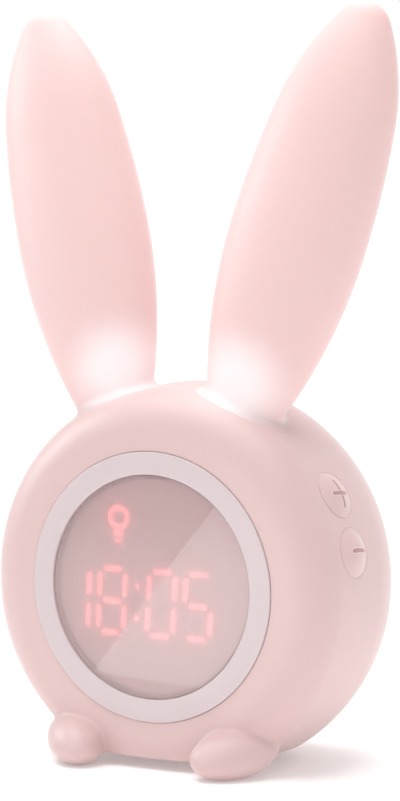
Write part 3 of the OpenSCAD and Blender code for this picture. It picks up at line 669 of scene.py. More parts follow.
def finishes(sizes, colours):
    """The finish of each material slot of the record."""
    made = {m.name: m for m in bpy.data.materials if m.name.startswith(PREFIX)}
    if made:
        return {name.removeprefix(PREFIX): m for name, m in made.items()}
    satin = dict(
        vary=0.012, rough=0.42, blotch=0.04, bump=0.03, Sheen_Weight=0.3, Sheen_Roughness=0.35,
        Specular_IOR_Level=0.4,
    )
    table = {
        "case_plastic": dict(colour=colours.case, **satin),
        "button_plastic": dict(colour=colours.case, **satin),
        "ear_silicone": dict(
            colour=colours.ear, vary=0.02, rough=0.5, bump=0.02,
            Sheen_Weight=0.4, Sheen_Roughness=0.35,
            Subsurface_Weight=0.2, Subsurface_Radius=(0.006, 0.003, 0.0025), Subsurface_Scale=1.0,
        ),
        "ring_plastic": dict(
            colour=colours.ring, vary=0.02, rough=0.4, bump=0.01, Specular_IOR_Level=0.3
        ),
        "lens_plastic": dict(
            colour=colours.lens, vary=0.008, rough=0.025, blotch=0.005, bump=0.0, IOR=2.0, Alpha=0.5
        ),
        "base_rubber": dict(colour=(0.55, 0.42, 0.42), rough=0.8, bump=0.2, grain=900),
        "dark_diffuser": dict(colour=(0.5, 0.36, 0.37), rough=0.45, bump=0.01),
        "display_plastic": dict(colour=(0.1, 0.06, 0.07), rough=0.4),
        "white_plastic": dict(colour=(0.78, 0.77, 0.74), vary=0.02, rough=0.5, bump=0.04),
        "circuit_board": dict(
            colour=(0.02, 0.16, 0.07), vary=0.35, drift=260, rough=0.35, bump=0.08, grain=1500
        ),
        "component_plastic": dict(colour=(0.03, 0.03, 0.035), vary=0.2, rough=0.45, bump=0.08),
        "led_lens": dict(colour=(0.92, 0.85, 0.6), rough=0.2, Transmission_Weight=0.3),
        "screw_steel": dict(
            colour=(0.62, 0.62, 0.64), vary=0.06, rough=0.3, blotch=0.1, metal=1.0, bump=0.05
        ),
        "battery_wrap": dict(
            colour=(0.55, 0.58, 0.62), vary=0.05, rough=0.28, metal=0.7, bump=0.05
        ),
        "foam": dict(colour=(0.1, 0.1, 0.1), vary=0.3, rough=0.95, bump=0.6, grain=700),
        "speaker_body": dict(
            colour=(0.05, 0.05, 0.055), vary=0.15, rough=0.4, metal=0.4, bump=0.08
        ),
        "socket_steel": dict(colour=(0.6, 0.6, 0.62), vary=0.05, rough=0.25, metal=1.0, bump=0.03),
        "mark": dict(colour=colours.mark, vary=0.04, rough=0.5, bump=0.02),
        # Painted highlight: the pale rim round each sign.
        "mark_edge": dict(colour=colours.mark_edge, vary=0.01, rough=0.4, bump=0.02),
    }
    made = {name: finish(PREFIX + name, **facts) for name, facts in table.items()}
    glow_at_roots(made["ear_silicone"], sizes, colours, EAR_GLOW, EAR_GLOW_REACH)
    # On the case the paling and the faint emission are painted light, the ears' glow falling on the
    # head.
    glow_at_roots(made["case_plastic"], sizes, colours, CASE_GLOW, CASE_GLOW_REACH)
    made["lit_diffuser"] = figures_finish(sizes, colours)
    return made


# ---------- the pieces ----------

ROUGH_STEPS, HOLLOW_STEPS, HOLE_STEPS = 96, 128, 96
SOLE_CUT = 0.2 * MM  # taken off the feet before they are evened out
RECESS_T, RECESS_LEDGE_W, RECESS_CUT = 1.5 * MM, 2.4 * MM, 9 * MM
PAST = 5 * MM  # how far a cutter passes the face that it cuts
HOLE_GAP, HOLE_LOW, HOLE_HIGH = 0.04 * MM, CASE_R - 12 * MM, CASE_R + 20 * MM
NECK_CUT = (-15 * MM, 12 * MM)


def build_housing(sizes, colours):
    """The moulded case with its feet, the recess of the ring and the holes for buttons and ears."""
    rough = case_solid(sizes, 0, ROUGH_STEPS)
    for side in (-1, 1):
        foot = bmesh.ops.create_uvsphere(rough, u_segments=48, v_segments=24, radius=1)["verts"]
        matrix = Matrix.Diagonal((side, 1, 1, 1)) @ Matrix.Translation(FOOT_PLACE)
        matrix = matrix @ FOOT_TURN.to_4x4() @ Matrix.Diagonal((*FOOT_HALF, 1))
        bmesh.ops.transform(rough, matrix=matrix, verts=foot)
    bmesh.ops.recalc_face_normals(rough, faces=rough.faces)
    o = loose("moulded_case", rough)
    carve(o, block((-FAR, -FAR, -FAR), (FAR, FAR, SOLE_CUT)))
    m = o.modifiers.new("even", "REMESH")
    m.mode, m.voxel_size = "VOXEL", sizes.grain
    freeze(o)

    def gap(p):
        return housing_gap(sizes, p)

    set_corners(o.data, settle(gap, corners(o.data)))
    hollow = carved(
        case_solid(sizes, sizes.wall, HOLLOW_STEPS),
        block((-FAR, -FAR, -FAR), (FAR, FAR, sizes.underside + sizes.wall)),
    )
    seat, ledge = RING_R + SEAT_GAP, RING_R - RECESS_LEDGE_W
    front = -sizes.front_depth
    recess = turned(
        sizes.turn_steps, (0, front - PAST), (seat + PAST + sizes.groove, front - PAST),
        (seat, front + sizes.groove), (seat, front + RECESS_T), (ledge, front + RECESS_T),
        (ledge, front + RECESS_CUT), (0, front + RECESS_CUT),
    )
    holes = []
    for side in (-1, 1):
        for end in (-1, 1):
            hole = rod(BUTTON_R + HOLE_GAP, HOLE_LOW, HOLE_HIGH, HOLE_STEPS)
            place(hole, keys_frame(side) @ Matrix.Translation((end * BUTTON_PITCH / 2, 0, 0)))
            holes.append(hole)
        neck = slot_rod(NECK_HALF, NECK_R + SEAT_GAP, *NECK_CUT)
        place(neck, ear_frame(sizes, side))
        holes.append(neck)
    carve(o, block((-FAR, JOINT, -FAR), (FAR, FAR, FAR)), hollow, recess, *holes)
    piece(o, "clock", "case_plastic", finishes(sizes, colours), ["case_shell"])
    smooth_normals(o.data, gap)


BOSS_ANGLES, BOSS_CIRCLE = (45, 135, 225, 315), CASE_R - 15 * MM
BOSS_R, SINK_R = 4.2 * MM, 2.9 * MM  # post of a cover screw, and the recess for its head
BOSS_LOW, BACK_CUT = -10 * MM, 60 * MM
GRILLE_RINGS, GRILLE_STEP, GRILLE_HOLE_R, GRILLE_CUT = 4, 3.6 * MM, 0.9 * MM, 12 * MM
SOCKET_HALF, SOCKET_R, SOCKET_CUT = 2.8 * MM, 1.95 * MM, (28 * MM, 40 * MM)
JOINT_GAP = 0.05 * MM


def build_cover(sizes, colours):
    """The rear cover with the loudspeaker's holes, the screws' recesses and the socket's slot."""
    o = loose("back_cover", case_solid(sizes, 0, sizes.turn_steps))
    spots = [round_case(angle, BOSS_CIRCLE) for angle in BOSS_ANGLES]

    def at(spot, bm):
        to_depth(bm)
        bmesh.ops.translate(bm, verts=bm.verts, vec=spot)
        return bm

    hollow = carved(
        case_solid(sizes, sizes.wall, HOLLOW_STEPS),
        *[at(spot, rod(BOSS_R, BOSS_LOW, BACK_CUT)) for spot in spots],
    )
    grille = bmesh.new()
    speaker_up = (SPEAKER_LOW.z + SPEAKER_HIGH.z) / 2 - CENTRE
    middle = Vector((0, COVER_BACK, CENTRE + speaker_up))
    for ring in range(GRILLE_RINGS):
        for i in range(max(1, 6 * ring)):
            spot = round_case(60 * i / max(1, ring), ring * GRILLE_STEP)
            made = bmesh.ops.create_cone(
                grille, cap_ends=True, segments=20, depth=GRILLE_CUT,
                radius1=GRILLE_HOLE_R, radius2=GRILLE_HOLE_R,
            )["verts"]
            bmesh.ops.rotate(grille, verts=made, matrix=Matrix.Rotation(math.radians(90), 3, "X"))
            bmesh.ops.translate(grille, verts=made, vec=spot + middle)
    bmesh.ops.recalc_face_normals(grille, faces=grille.faces)
    socket_up = (SOCKET_LOW.z + SOCKET_HIGH.z) / 2 - CENTRE
    socket = at(Vector((0, 0, socket_up)), slot_rod(SOCKET_HALF, SOCKET_R, *SOCKET_CUT))
    sinks = [at(spot, rod(SINK_R, 0.0, BACK_CUT)) for spot in spots]
    front = block((-FAR, -FAR, -FAR), (FAR, JOINT + JOINT_GAP, FAR))
    carve(o, front, hollow, grille, socket, *sinks)
    piece(o, "clock", "case_plastic", finishes(sizes, colours), ["rear_cover"])


EAR_HALF, EAR_BELLY = 21.0, 49.0  # half width of an ear, and the height where it has it, in mm
FLARE_R, FLANK_R, SHOULDER_R, TIP_R = 145.5, 260.0, 68.8, 8.9  # arcs of its outline, in mm


def ear_radius(along):
    """Half width of an ear at a distance from its root, by four arcs that meet smoothly."""
    z = along / MM
    tip = np.array([0.0, EAR_LENGTH / MM - TIP_R])
    flank = np.array([EAR_HALF - FLANK_R, EAR_BELLY])
    reach = np.linalg.norm(tip - flank)
    run = ((FLANK_R - SHOULDER_R) ** 2 - (SHOULDER_R - TIP_R) ** 2 + reach**2) / (2 * reach)
    off = math.sqrt((FLANK_R - SHOULDER_R) ** 2 - run**2)
    way = (tip - flank) / reach
    shoulder = flank + run * way + off * np.array([way[1], -way[0]])
    flank_end = EAR_BELLY + FLANK_R * (shoulder - flank)[1] / np.linalg.norm(shoulder - flank)
    shoulder_end = tip[1] + TIP_R * (tip - shoulder)[1] / np.linalg.norm(tip - shoulder)

    def arc(centre, radius):
        return centre[0] + np.sqrt(np.maximum(radius**2 - (z - centre[1]) ** 2, 0))

    flare = arc((EAR_HALF - FLARE_R, EAR_BELLY), FLARE_R)
    wide = np.where(z < EAR_BELLY, flare, arc(flank, FLANK_R))
    wide = np.where(z > flank_end, arc(shoulder, SHOULDER_R), wide)
    return np.where(z > shoulder_end, arc(tip, TIP_R), wide) * MM


def ear_gap(p, back):
    """Distance from an ear's surface, with back the turn from the clock into the ear's frame."""
    q = p @ np.array(back)[:3, :3].T + np.array(back)[:3, 3]
    to_round = np.array([1, 1 / EAR_THIN, 0])
    thin = q * to_round
    out = np.linalg.norm(thin, axis=1)
    lean = np.linalg.norm(thin * to_round, axis=1) / np.maximum(out, 1e-9)
    return (out - ear_radius(q[:, 2])) / np.maximum(lean, 1e-6)


NECK_ROWS, SKIRT_ROWS, EAR_ROWS, EAR_STEPS = 3, 12, 96, 144  # faces along and round an ear
ROOT_LOW, ROOT_HIGH = -7.5 * MM, 25 * MM  # where an ear can meet the case, along it
SKIRT_SPREAD, SKIRT_REACH = 1.25, 1.6  # shares of the ear's fillet
SKIRT_LIFT, SKIRT_DIP = 0.2 * MM, 0.15 * MM
NECK_TOP, NECK_END = -1.5 * MM, -9 * MM
NECK_TURN = 8  # how fast the neck's flank turns from one end to the other


def build_ear(sizes, colours, name, side, node):
    """One ear: a turned skin shaped by its outline, with a soft skirt on the case and a neck."""
    skirt, first = SKIRT_ROWS, NECK_ROWS
    bm = bmesh.new()
    last = skirt + EAR_ROWS + first
    outline(bm, (0, 0), *[(1, i) for i in range(1, last)], (0, last))
    turn(bm, EAR_STEPS)
    place(bm, Matrix.Rotation(math.radians(90), 4, "X"))
    o = loose(name, bm)
    co = corners(o.data)
    row = np.rint(co[:, 2]).astype(int)
    angle = np.arctan2(co[:, 1], co[:, 0])
    matrix = ear_frame(sizes, side)
    m, back = np.array(matrix), matrix.inverted()

    def world(q):
        return q @ m[:3, :3].T + m[:3, 3]

    def on_ear(z):
        r = ear_radius(z)
        return world(np.stack([r * np.cos(angle), r * EAR_THIN * np.sin(angle), z], 1))

    low, high = np.full(len(co), ROOT_LOW), np.full(len(co), ROOT_HIGH)
    for _ in range(30):
        middle = (low + high) / 2
        inside = case_gap(sizes, on_ear(middle)) < 0
        low, high = np.where(inside, middle, low), np.where(inside, high, middle)
    root = (low + high) / 2
    u = np.clip((row - first - skirt) / EAR_ROWS, 0, 1)
    along = root + (EAR_LENGTH - root) * u * u * (3 - 2 * u)
    spots = on_ear(along)
    s = np.clip(1 - (row - first) / skirt, 0, 1)
    out = s * SKIRT_SPREAD * sizes.ear_fillet
    across = (ear_radius(root) + out) * np.cos(angle)
    through = (ear_radius(root) * EAR_THIN + out) * np.sin(angle)
    flat = world(np.stack([across, through, root + SKIRT_LIFT], 1))
    spots = np.where((row < first + skirt)[:, None], flat, spots)

    def gap(p):
        return soft_min(ear_gap(p, back), case_gap(sizes, p), sizes.ear_fillet)

    near = case_gap(sizes, spots) < SKIRT_REACH * sizes.ear_fillet
    soft = (row >= first) & near & (row < last)
    spots[soft] = settle(gap, spots[soft], 12)
    rim = row == first
    n = slope(lambda p: case_gap(sizes, p), spots[rim])
    spots[rim] -= SKIRT_DIP * n
    bend = 1 / np.maximum(np.abs(np.cos(angle)), np.abs(np.sin(angle)))
    across = np.cos(angle) * NECK_R + np.clip(np.cos(angle) * bend * NECK_TURN, -1, 1) * NECK_HALF
    down = np.where(row == first - 1, NECK_TOP, NECK_END)
    neck = np.stack([across, np.sin(angle) * NECK_R, down], 1)
    neck[row == 0] = (0, 0, NECK_END)
    spots = np.where((row < first)[:, None], world(neck), spots)
    set_corners(o.data, spots)
    bm = bmesh.new()
    bm.from_mesh(o.data)
    tidy(bm)
    bm.to_mesh(o.data)
    bm.free()
    piece(o, "clock", "ear_silicone", finishes(sizes, colours), [node], sharp=50)


RING_SOFT, LENS_SOFT = 0.35 * MM, 0.25 * MM  # rounding of the rims
FLANGE_T, FLANGE_W, SKIRT_T, LIP_W = 2 * MM, 2.5 * MM, 1.8 * MM, 1.3 * MM


def build_ring(sizes, colours):
    """The bezel ring: a flange on the case, a skirt in it and a lip behind the lens."""
    face, back, soft = RING_FACE, RING_HIGH.y, RING_SOFT
    inner = LENS_R + SEAT_GAP
    skirt = RING_R - FLANGE_W
    bm = turned(
        sizes.turn_steps, (inner, LENS_HIGH.y), (inner, face + soft),
        (inner + soft, face + soft, 90, 5),
        (RING_R - soft, face), (RING_R - soft, face + soft, 90, 5), (RING_R, face + FLANGE_T),
        (skirt, face + FLANGE_T), (skirt, back), (skirt - SKIRT_T, back),
        (skirt - SKIRT_T, BLOCK_LOW.y), (inner - LIP_W, BLOCK_LOW.y), (inner - LIP_W, LENS_HIGH.y),
        (inner, LENS_HIGH.y),
    )
    table = finishes(sizes, colours)
    piece(loose("bezel", bm), "clock", "ring_plastic", table, ["bezel_ring"])


def build_lens(sizes, colours):
    """The tinted lens, a disc with a soft rim."""
    face, back = LENS_LOW.y, LENS_HIGH.y
    flat = LENS_R - LENS_SOFT
    rim = (flat, face + LENS_SOFT, 90, 4)
    bm = turned(sizes.turn_steps, (0, face), (flat, face), rim, (LENS_R, back), (0, back))
    table = finishes(sizes, colours)
    piece(loose("tinted_lens", bm), "clock", "lens_plastic", table, ["lens"])


LIT_CORE, LIT_HALO = 1.75, 0.40  # strength of the light in the bars and round them
CORE_EDGE, HALO_START = 0.25 * MM, -0.6 * MM
FIGURES = ((-1.7, "bc"), (-0.7, "abcdefg"), (0.67, "abcdef"), (1.67, "acdfg"))
BAR_UP = {"a": 2, "f": 1, "b": 1, "g": 0, "e": -1, "c": -1, "d": -2}  # in quarters of a figure
BAR_SIDE = {"b": 0.5, "c": 0.5, "e": -0.5, "f": -0.5}  # in widths of a figure
FIGURE_H, FIGURE_W, FIGURE_PITCH, SLANT = 18.3 * MM, 8.4 * MM, 11.9 * MM, math.radians(3)
DOT_R = 0.7 * MM
SIGN_STROKE = 0.75 * MM  # half the width of the lamp sign's ring
NECK_DROP, NECK_THICK, TIP_RISE, TIP_HALF, TIP_THICK = 1.28, 0.9 * MM, MM, 0.8 * MM, 0.45 * MM


def lit_lines(sizes):
    """Ends of the middle line of each lit bar and dot, across and up, with half its width."""
    middle = (DOTS_LOW + DOTS_HIGH) / 2
    half = sizes.bar_width / 2
    lines = []
    for step, letters in FIGURES:
        for c in letters:
            up = BAR_UP[c] * FIGURE_H / 4
            side = BAR_SIDE.get(c, 0) * FIGURE_W
            x = middle.x + step * FIGURE_PITCH + side + up * math.tan(SLANT)
            long = (FIGURE_W if c in "agd" else FIGURE_H / 2) / 2 - sizes.bar_gap
            way = (long - half, 0) if c in "agd" else (long * math.sin(SLANT), long - half)
            z = middle.z + up
            lines.append(((x - way[0], z - way[1]), (x + way[0], z + way[1]), half))
    for end in (-1, 1):
        spot = (middle.x + end * FIGURE_H / 4 * math.tan(SLANT), middle.z + end * FIGURE_H / 4)
        lines.append((spot, spot, DOT_R))
    return lines


def from_line(p, a, b, half):
    """Distance from a bar with round ends, between two points."""
    a, d = np.array(a), np.array(b) - np.array(a)
    t = np.clip((p - a) @ d / max(d @ d, 1e-12), 0, 1)[:, None]
    return np.linalg.norm(p - a - t * d, axis=1) - half


def from_sign(p):
    """Distance from the lamp's sign: a ring, a solid neck under it and a thin line below."""
    low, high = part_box("lamp_sign")
    x, bulb = (low.x + high.x) / 2, (high.x - low.x) / 2
    centre = np.array([x, high.z - bulb])
    ring = np.abs(np.linalg.norm(p - centre, axis=1) - bulb + SIGN_STROKE) - SIGN_STROKE
    neck_z, tip_z = centre[1] - NECK_DROP * bulb, low.z + TIP_RISE
    neck = from_line(p, (x - SIGN_STROKE, neck_z), (x + SIGN_STROKE, neck_z), NECK_THICK)
    tip = from_line(p, (x - TIP_HALF, tip_z), (x + TIP_HALF, tip_z), TIP_THICK)
    return np.minimum(np.minimum(ring, neck), tip)


FILM_RINGS, FILM_STEPS = 96, 256
FILM_GAP = 0.05 * MM  # between the film and the lip of the ring


def build_display(sizes, colours):
    """The display's block, and the film in front of it that carries the lit figures."""
    face, back, side = BLOCK_LOW.y, BLOCK_HIGH.y, BLOCK_HIGH.x
    bm = turned(sizes.turn_steps, (0, face), (side, face), (side, back), (0, back))
    table = finishes(sizes, colours)
    piece(loose("display", bm), "clock", "display_plastic", table, ["display_block"])

    radius, film = LENS_R - LIP_W - FILM_GAP, BARS_LOW.y
    bm = turned(
        FILM_STEPS, (0, film),
        *[(radius * i / FILM_RINGS, film) for i in range(1, FILM_RINGS + 1)],
        (radius, face), (0, face),
    )
    o = loose("figures", bm)
    p = corners(o.data)[:, [0, 2]]
    bars = [from_line(p, *line) for line in lit_lines(sizes)]
    away = np.min(bars + [from_sign(p)], axis=0)
    layer = o.data.attributes.new("away", "FLOAT", "POINT")
    layer.data.foreach_set("value", away.astype(np.float32))
    replaced = ["lit_bars", "dark_bars", "colon_dots", "lamp_sign"]
    piece(o, "clock", "lit_diffuser", table, replaced)


LEVEL = 84.5  # turn of a sign's bar that runs level, against the row of the buttons
BUTTONS = (
    ("plus_button", 1, 1, "plus"),
    ("minus_button", 1, -1, "minus"),
    ("mode_button", -1, 1, "ring"),
    ("set_button", -1, -1, "dot"),
)
BUTTON_SOFT, BUTTON_RINGS, BUTTON_STEPS = 0.12 * MM, 28, 96
COLLAR_DROP = 6.5 * MM + 0.3 * MM  # from the widest plane's radius to the collar's outer face
COLLAR_R, COLLAR_T = BUTTON_PITCH / 2 - 0.45 * MM, 1.5 * MM
STEM_R, STEM_L = 2 * MM, 2.75 * MM  # the stem's length has the collar's in it


def build_buttons(sizes, colours):
    """Four domed buttons, each with its collar and its stem."""
    seat, top = CASE_R - COLLAR_DROP, front_radius(sizes, BUTTON_FRONT)
    soft, flat = BUTTON_SOFT, BUTTON_R - BUTTON_SOFT
    for name, side, end, _ in BUTTONS:
        bm = bmesh.new()
        outline(
            bm, (0, top), *[(flat * i / BUTTON_RINGS, top) for i in range(1, BUTTON_RINGS + 1)],
            (flat, top - soft, -90, 4), (BUTTON_R, seat), (COLLAR_R, seat),
            (COLLAR_R, seat - COLLAR_T), (STEM_R, seat - COLLAR_T), (STEM_R, seat - STEM_L),
            (0, seat - STEM_L),
        )
        turn(bm, BUTTON_STEPS)
        place(bm, Matrix.Rotation(math.radians(90), 4, "X"))
        for v in bm.verts:
            v.co.x += end * BUTTON_PITCH / 2
            if v.co.z > top - soft - 1e-6:
                v.co.z += float(key_top(sizes, end, v.co.x, v.co.y)) - top
        place(bm, keys_frame(side))
        o = loose(name.replace("button", "key"), bm)
        piece(o, name, "button_plastic", finishes(sizes, colours), [name], sharp=40)


# The pale edge under each sign is a painted highlight along its rim.
HIGHLIGHT_GROW, SIGN_LIFT, SIGN_T = 0.3, 0.06, 0.3  # pale edge, step from it to its sign, depth, in mm


def bar_mark(length, width, degrees):
    """A flat bar with round ends."""
    bm = bmesh.new()
    bmesh.ops.create_grid(bm, x_segments=24, y_segments=6, size=0.5)
    for v in bm.verts:
        across = v.co.y
        v.co.y *= width
        v.co.x *= length - width * (1 - math.sqrt(max(0, 1 - 4 * across**2)))
    bmesh.ops.rotate(bm, verts=bm.verts, matrix=Matrix.Rotation(math.radians(degrees), 3, "Z"))
    return bm


def ring_mark(low, high):
    """A flat ring between two radii."""
    bm = bmesh.new()
    outline(bm, (low, 0), ((low + high) / 2, 0), (high, 0))
    turn(bm, 48, axis=(0, 0, 1))
    return bm


SIGNS = {  # (length, width, turn) of each bar, or (inner, outer) radii of a ring, mm and degrees
    "plus": ((7.6, 1.15, LEVEL), (8.6, 0.35, 0)),
    "minus": ((7.0, 1.15, LEVEL),),
    "ring": ((1.7, 2.5),),
    "dot": ((0.02, 1.3),),
}


def build_marks(sizes, colours):
    """The thin signs on the buttons' domes, each bar or ring on a paler edge of its own, a painted
    highlight round its rim.
    """
    table = finishes(sizes, colours)
    for name, side, end, kind in BUTTONS:
        for i, facts in enumerate(SIGNS[kind]):
            for grow, lift, slot in ((HIGHLIGHT_GROW, 0.0, "mark_edge"), (0.0, SIGN_LIFT, "mark")):
                if len(facts) == 3:
                    length, width, degrees = facts
                    if i and slot == "mark_edge":
                        continue
                    bm = bar_mark((length + 2 * grow) * MM, (width + 2 * grow) * MM, degrees)
                else:
                    bm = ring_mark(max(0.01, facts[0] - grow) * MM, (facts[1] + grow) * MM)
                top = corners_in(bmesh.ops.extrude_face_region(bm, geom=bm.faces[:])["geom"])
                bmesh.ops.translate(bm, verts=bm.verts, vec=(0, 0, -SIGN_T * MM))
                rise = (SIGN_T + lift) * MM + sizes.mark_proud
                bmesh.ops.translate(bm, verts=top, vec=(0, 0, rise))
                for v in bm.verts:
                    v.co.x += end * BUTTON_PITCH / 2
                    v.co.z += float(key_top(sizes, end, v.co.x, v.co.y))
                place(bm, keys_frame(side))
                o = loose(kind + "_sign" + ("", "_upright")[i] + slot.removeprefix("mark"), bm)
                piece(o, name, "button_plastic", table, look=slot, sharp=40)


def dress_frame(sizes, colours):
    """Gives every solid that still shows its own finish."""
    table = finishes(sizes, colours)
    for name, o in frame["nodes"].items():
        if o.hide_render:
            continue
        slot = o.data.materials[0].name.split(".")[0]
        if slot.startswith(PREFIX):
            continue
        if slot not in table:
            raise RuntimeError(f"{name} has no finish for {slot}")
        o.data.materials[0] = table[slot]


# Strength of the paper's own light, by the place to the back in m
PAPER_GLOW = {"From Min": 0.25, "From Max": 1.5, "To Min": 0.2, "To Max": 0.38}


def paper_finish(colours):
    """White paper, brighter towards the backdrop, where a light of its own would stand."""
    looks = dict(vary=0.004, drift=3, rough=0.9, bump=0.0, Emission_Color=(1, 1, 1, 1))
    m = finish("paper", colours.floor, **looks)
    link = m.node_tree.links.new
    parts = add_node(m, "SeparateXYZ")
    link(add_node(m, "TexCoord").outputs["Object"], parts.inputs["Vector"])
    fade = add_node(m, "MapRange", PAPER_GLOW)
    link(parts.outputs["Y"], fade.inputs["Value"])
    skin = m.node_tree.nodes["Principled BSDF"]
    link(fade.outputs["Result"], skin.inputs["Emission Strength"])
    return m


FLOOR_FRONT, FLOOR_BACK, SWEEP_R, WALL_H, PAPER_HALF = -4.0, 1.6, 0.8, 2.5, 3.5
KEY_PLACE, KEY_AIM, KEY_SIZE = (-0.15, -0.05, 1.1), (0, 0, 0.1), (1.2, 1.0)
RIM_PLACE, RIM_AIM, RIM_SIZE = (-0.6, -0.16, 0.36), (0, 0, 0.2), (0.34, 0.34)
RIM_COLOUR = (0.82, 1, 1)
# The lens mirrors the card, whose upper left edge is the line across the lens
CARD_EDGE, CARD_ACROSS = Vector((0.659, 0, 0.752)), Vector((0.752, 0, -0.659))
CARD_CORNER, CARD_SIZE = Vector((-0.0385, -0.1, 0.0414)), (0.13, 0.07)
CAMERA_PLACE, CAMERA_BACK = (0.3995, -0.7211, 0.1602), (0.4845, -0.8721, 0.0684)
CAMERA_LENS, CAMERA_SENSOR = 127.4, 36


def build_sweep(colours):
    """White paper that lies under the clock and rises behind it."""
    bm = bmesh.new()
    outline(bm, (0, FLOOR_FRONT), (0, FLOOR_BACK))
    bmesh.ops.subdivide_edges(bm, edges=bm.edges[:], cuts=8)
    last = max(bm.verts, key=lambda v: v.co.y)
    middle = (0, FLOOR_BACK, SWEEP_R)
    bmesh.ops.spin(
        bm, geom=[last], cent=middle, axis=(1, 0, 0), angle=math.radians(90), steps=16
    )
    last = max(bm.verts, key=lambda v: v.co.z)
    top = bm.verts.new(last.co + Vector((0, 0, WALL_H)))
    bm.edges.new((last, top))
    bmesh.ops.translate(bm, verts=bm.verts, vec=(-PAPER_HALF, 0, 0))
    wide = corners_in(bmesh.ops.extrude_edge_only(bm, edges=bm.edges[:])["geom"])
    bmesh.ops.translate(bm, verts=wide, vec=(2 * PAPER_HALF, 0, 0))
    bmesh.ops.recalc_face_normals(bm, faces=bm.faces)
    o = loose("sweep", bm)
    if o.data.polygons[0].normal.z < 0:
        o.data.flip_normals()
    o.data.shade_smooth()
    o.data.materials.append(paper_finish(colours))


def build_studio(colours, light):
    """The paper, the lights and the camera."""
    build_sweep(colours)
    world = bpy.data.worlds.new("sky")
    world.use_nodes = True
    sky = world.node_tree.nodes["Background"].inputs
    sky["Color"].default_value = (1, 1, 1, 1)
    sky["Strength"].default_value = light.sky
    bpy.context.scene.world = world

    def lamp(name, matrix, size, power):
        data = bpy.data.lights.new(name, "AREA")
        data.shape = "RECTANGLE"
        data.size, data.size_y = size
        data.energy = power
        o = bpy.data.objects.new(name, data)
        bpy.context.scene.collection.objects.link(o)
        o.matrix_world = matrix
        return o

    def facing(where, to):
        aim = (Vector(to) - Vector(where)).to_track_quat("-Z", "Y")
        return Matrix.Translation(where) @ aim.to_matrix().to_4x4()

    lamp("overhead", facing(KEY_PLACE, KEY_AIM), KEY_SIZE, light.key)
    rim = lamp("rim", facing(RIM_PLACE, RIM_AIM), RIM_SIZE, light.rim)
    rim.data.color = RIM_COLOUR
    rim.visible_diffuse = False
    aim = Matrix((CARD_EDGE, -CARD_ACROSS, (0, -1, 0))).transposed().to_4x4()
    middle = CARD_CORNER + CARD_SIZE[1] / 2 * CARD_ACROSS
    card = lamp("card", Matrix.Translation(middle) @ aim, CARD_SIZE, light.card)
    card.visible_camera = card.visible_diffuse = card.visible_transmission = False

    back = Vector(CAMERA_BACK).normalized()
    right = Vector((-back.y, back.x, 0)).normalized()
    up = back.cross(right)
    data = bpy.data.cameras.new("camera")
    data.lens, data.sensor_width = CAMERA_LENS, CAMERA_SENSOR
    data.clip_start, data.clip_end = 0.01, 50
    camera = bpy.data.objects.new("camera", data)
    bpy.context.scene.collection.objects.link(camera)
    aim = Matrix((right, up, back)).transposed().to_4x4()
    camera.matrix_world = Matrix.Translation(CAMERA_PLACE) @ aim
    bpy.context.scene.camera = camera
    bpy.context.scene.view_settings.view_transform = "Standard"


# ---------- operators and panel ----------


def settings(context):
    """The sizes and the colours that the panel shows."""
    return context.scene.clock_sizes, context.scene.clock_colours


class ClockHousing(bpy.types.Operator):
    """Mould the case with its feet, ring recess, button holes and ear holes"""

    bl_idname = "clock.housing"
    bl_label = "Case"

    def execute(self, context):
        build_housing(*settings(context))
        return {"FINISHED"}


class ClockCover(bpy.types.Operator):
    """Turn the rear cover with its grille, screw recesses and socket slot"""

    bl_idname = "clock.cover"
    bl_label = "Rear cover"

    def execute(self, context):
        build_cover(*settings(context))
        return {"FINISHED"}


class ClockEars(bpy.types.Operator):
    """Shape the two soft ears"""

    bl_idname = "clock.ears"
    bl_label = "Ears"

    def execute(self, context):
        for name, side, node in (("left_ear", -1, "ear_left"), ("right_ear", 1, "ear_right")):
            build_ear(*settings(context), name, side, node)
        return {"FINISHED"}


class ClockRing(bpy.types.Operator):
    """Turn the bezel ring"""

    bl_idname = "clock.ring"
    bl_label = "Bezel ring"

    def execute(self, context):
        build_ring(*settings(context))
        return {"FINISHED"}


class ClockLens(bpy.types.Operator):
    """Turn the tinted lens"""

    bl_idname = "clock.lens"
    bl_label = "Lens"

    def execute(self, context):
        build_lens(*settings(context))
        return {"FINISHED"}


class ClockDisplay(bpy.types.Operator):
    """Turn the display's face and light it round the bars"""

    bl_idname = "clock.display"
    bl_label = "Display"

    def execute(self, context):
        build_display(*settings(context))
        return {"FINISHED"}


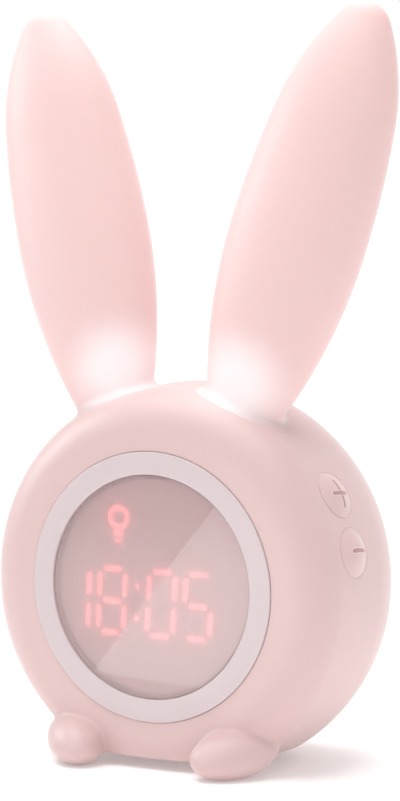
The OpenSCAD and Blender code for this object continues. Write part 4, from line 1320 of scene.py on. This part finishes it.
class ClockButtons(bpy.types.Operator):
    """Turn the four domed buttons"""

    bl_idname = "clock.buttons"
    bl_label = "Buttons"

    def execute(self, context):
        build_buttons(*settings(context))
        return {"FINISHED"}


class ClockSigns(bpy.types.Operator):
    """Lay the signs on the buttons"""

    bl_idname = "clock.signs"
    bl_label = "Button signs"

    def execute(self, context):
        build_marks(*settings(context))
        return {"FINISHED"}


class ClockInside(bpy.types.Operator):
    """Give the solids that still show their finishes"""

    bl_idname = "clock.inside"
    bl_label = "Inside and trim"

    def execute(self, context):
        dress_frame(*settings(context))
        return {"FINISHED"}


class ClockStudio(bpy.types.Operator):
    """Set up the floor, the lights and the camera"""

    bl_idname = "clock.studio"
    bl_label = "Studio"

    def execute(self, context):
        build_studio(context.scene.clock_colours, context.scene.clock_light)
        return {"FINISHED"}


STEPS = (
    ClockHousing, ClockCover, ClockEars, ClockRing, ClockLens, ClockDisplay, ClockButtons,
    ClockSigns, ClockInside, ClockStudio,
)


class ClockPanel(bpy.types.Panel):
    bl_idname = "VIEW3D_PT_clock"
    bl_label = "Alarm clock"
    bl_space_type = "VIEW_3D"
    bl_region_type = "UI"
    bl_category = "Clock"

    def draw(self, context):
        scene = context.scene
        for group in (scene.clock_sizes, scene.clock_colours, scene.clock_light):
            for name in group.__annotations__:
                self.layout.prop(group, name)
        for step in STEPS:
            self.layout.operator(step.bl_idname)


CLASSES = (ClockSizes, ClockColours, StudioLight, *STEPS, ClockPanel)


def register():
    for c in CLASSES:
        bpy.utils.register_class(c)
    bpy.types.Scene.clock_sizes = PointerProperty(type=ClockSizes)
    bpy.types.Scene.clock_colours = PointerProperty(type=ClockColours)
    bpy.types.Scene.clock_light = PointerProperty(type=StudioLight)


def unregister():
    del bpy.types.Scene.clock_light
    del bpy.types.Scene.clock_colours
    del bpy.types.Scene.clock_sizes
    for c in reversed(CLASSES):
        bpy.utils.unregister_class(c)


def main():
    register()
    for step in STEPS:
        group, name = step.bl_idname.split(".")
        getattr(getattr(bpy.ops, group), name)()


if __name__ == "__main__":
    main()
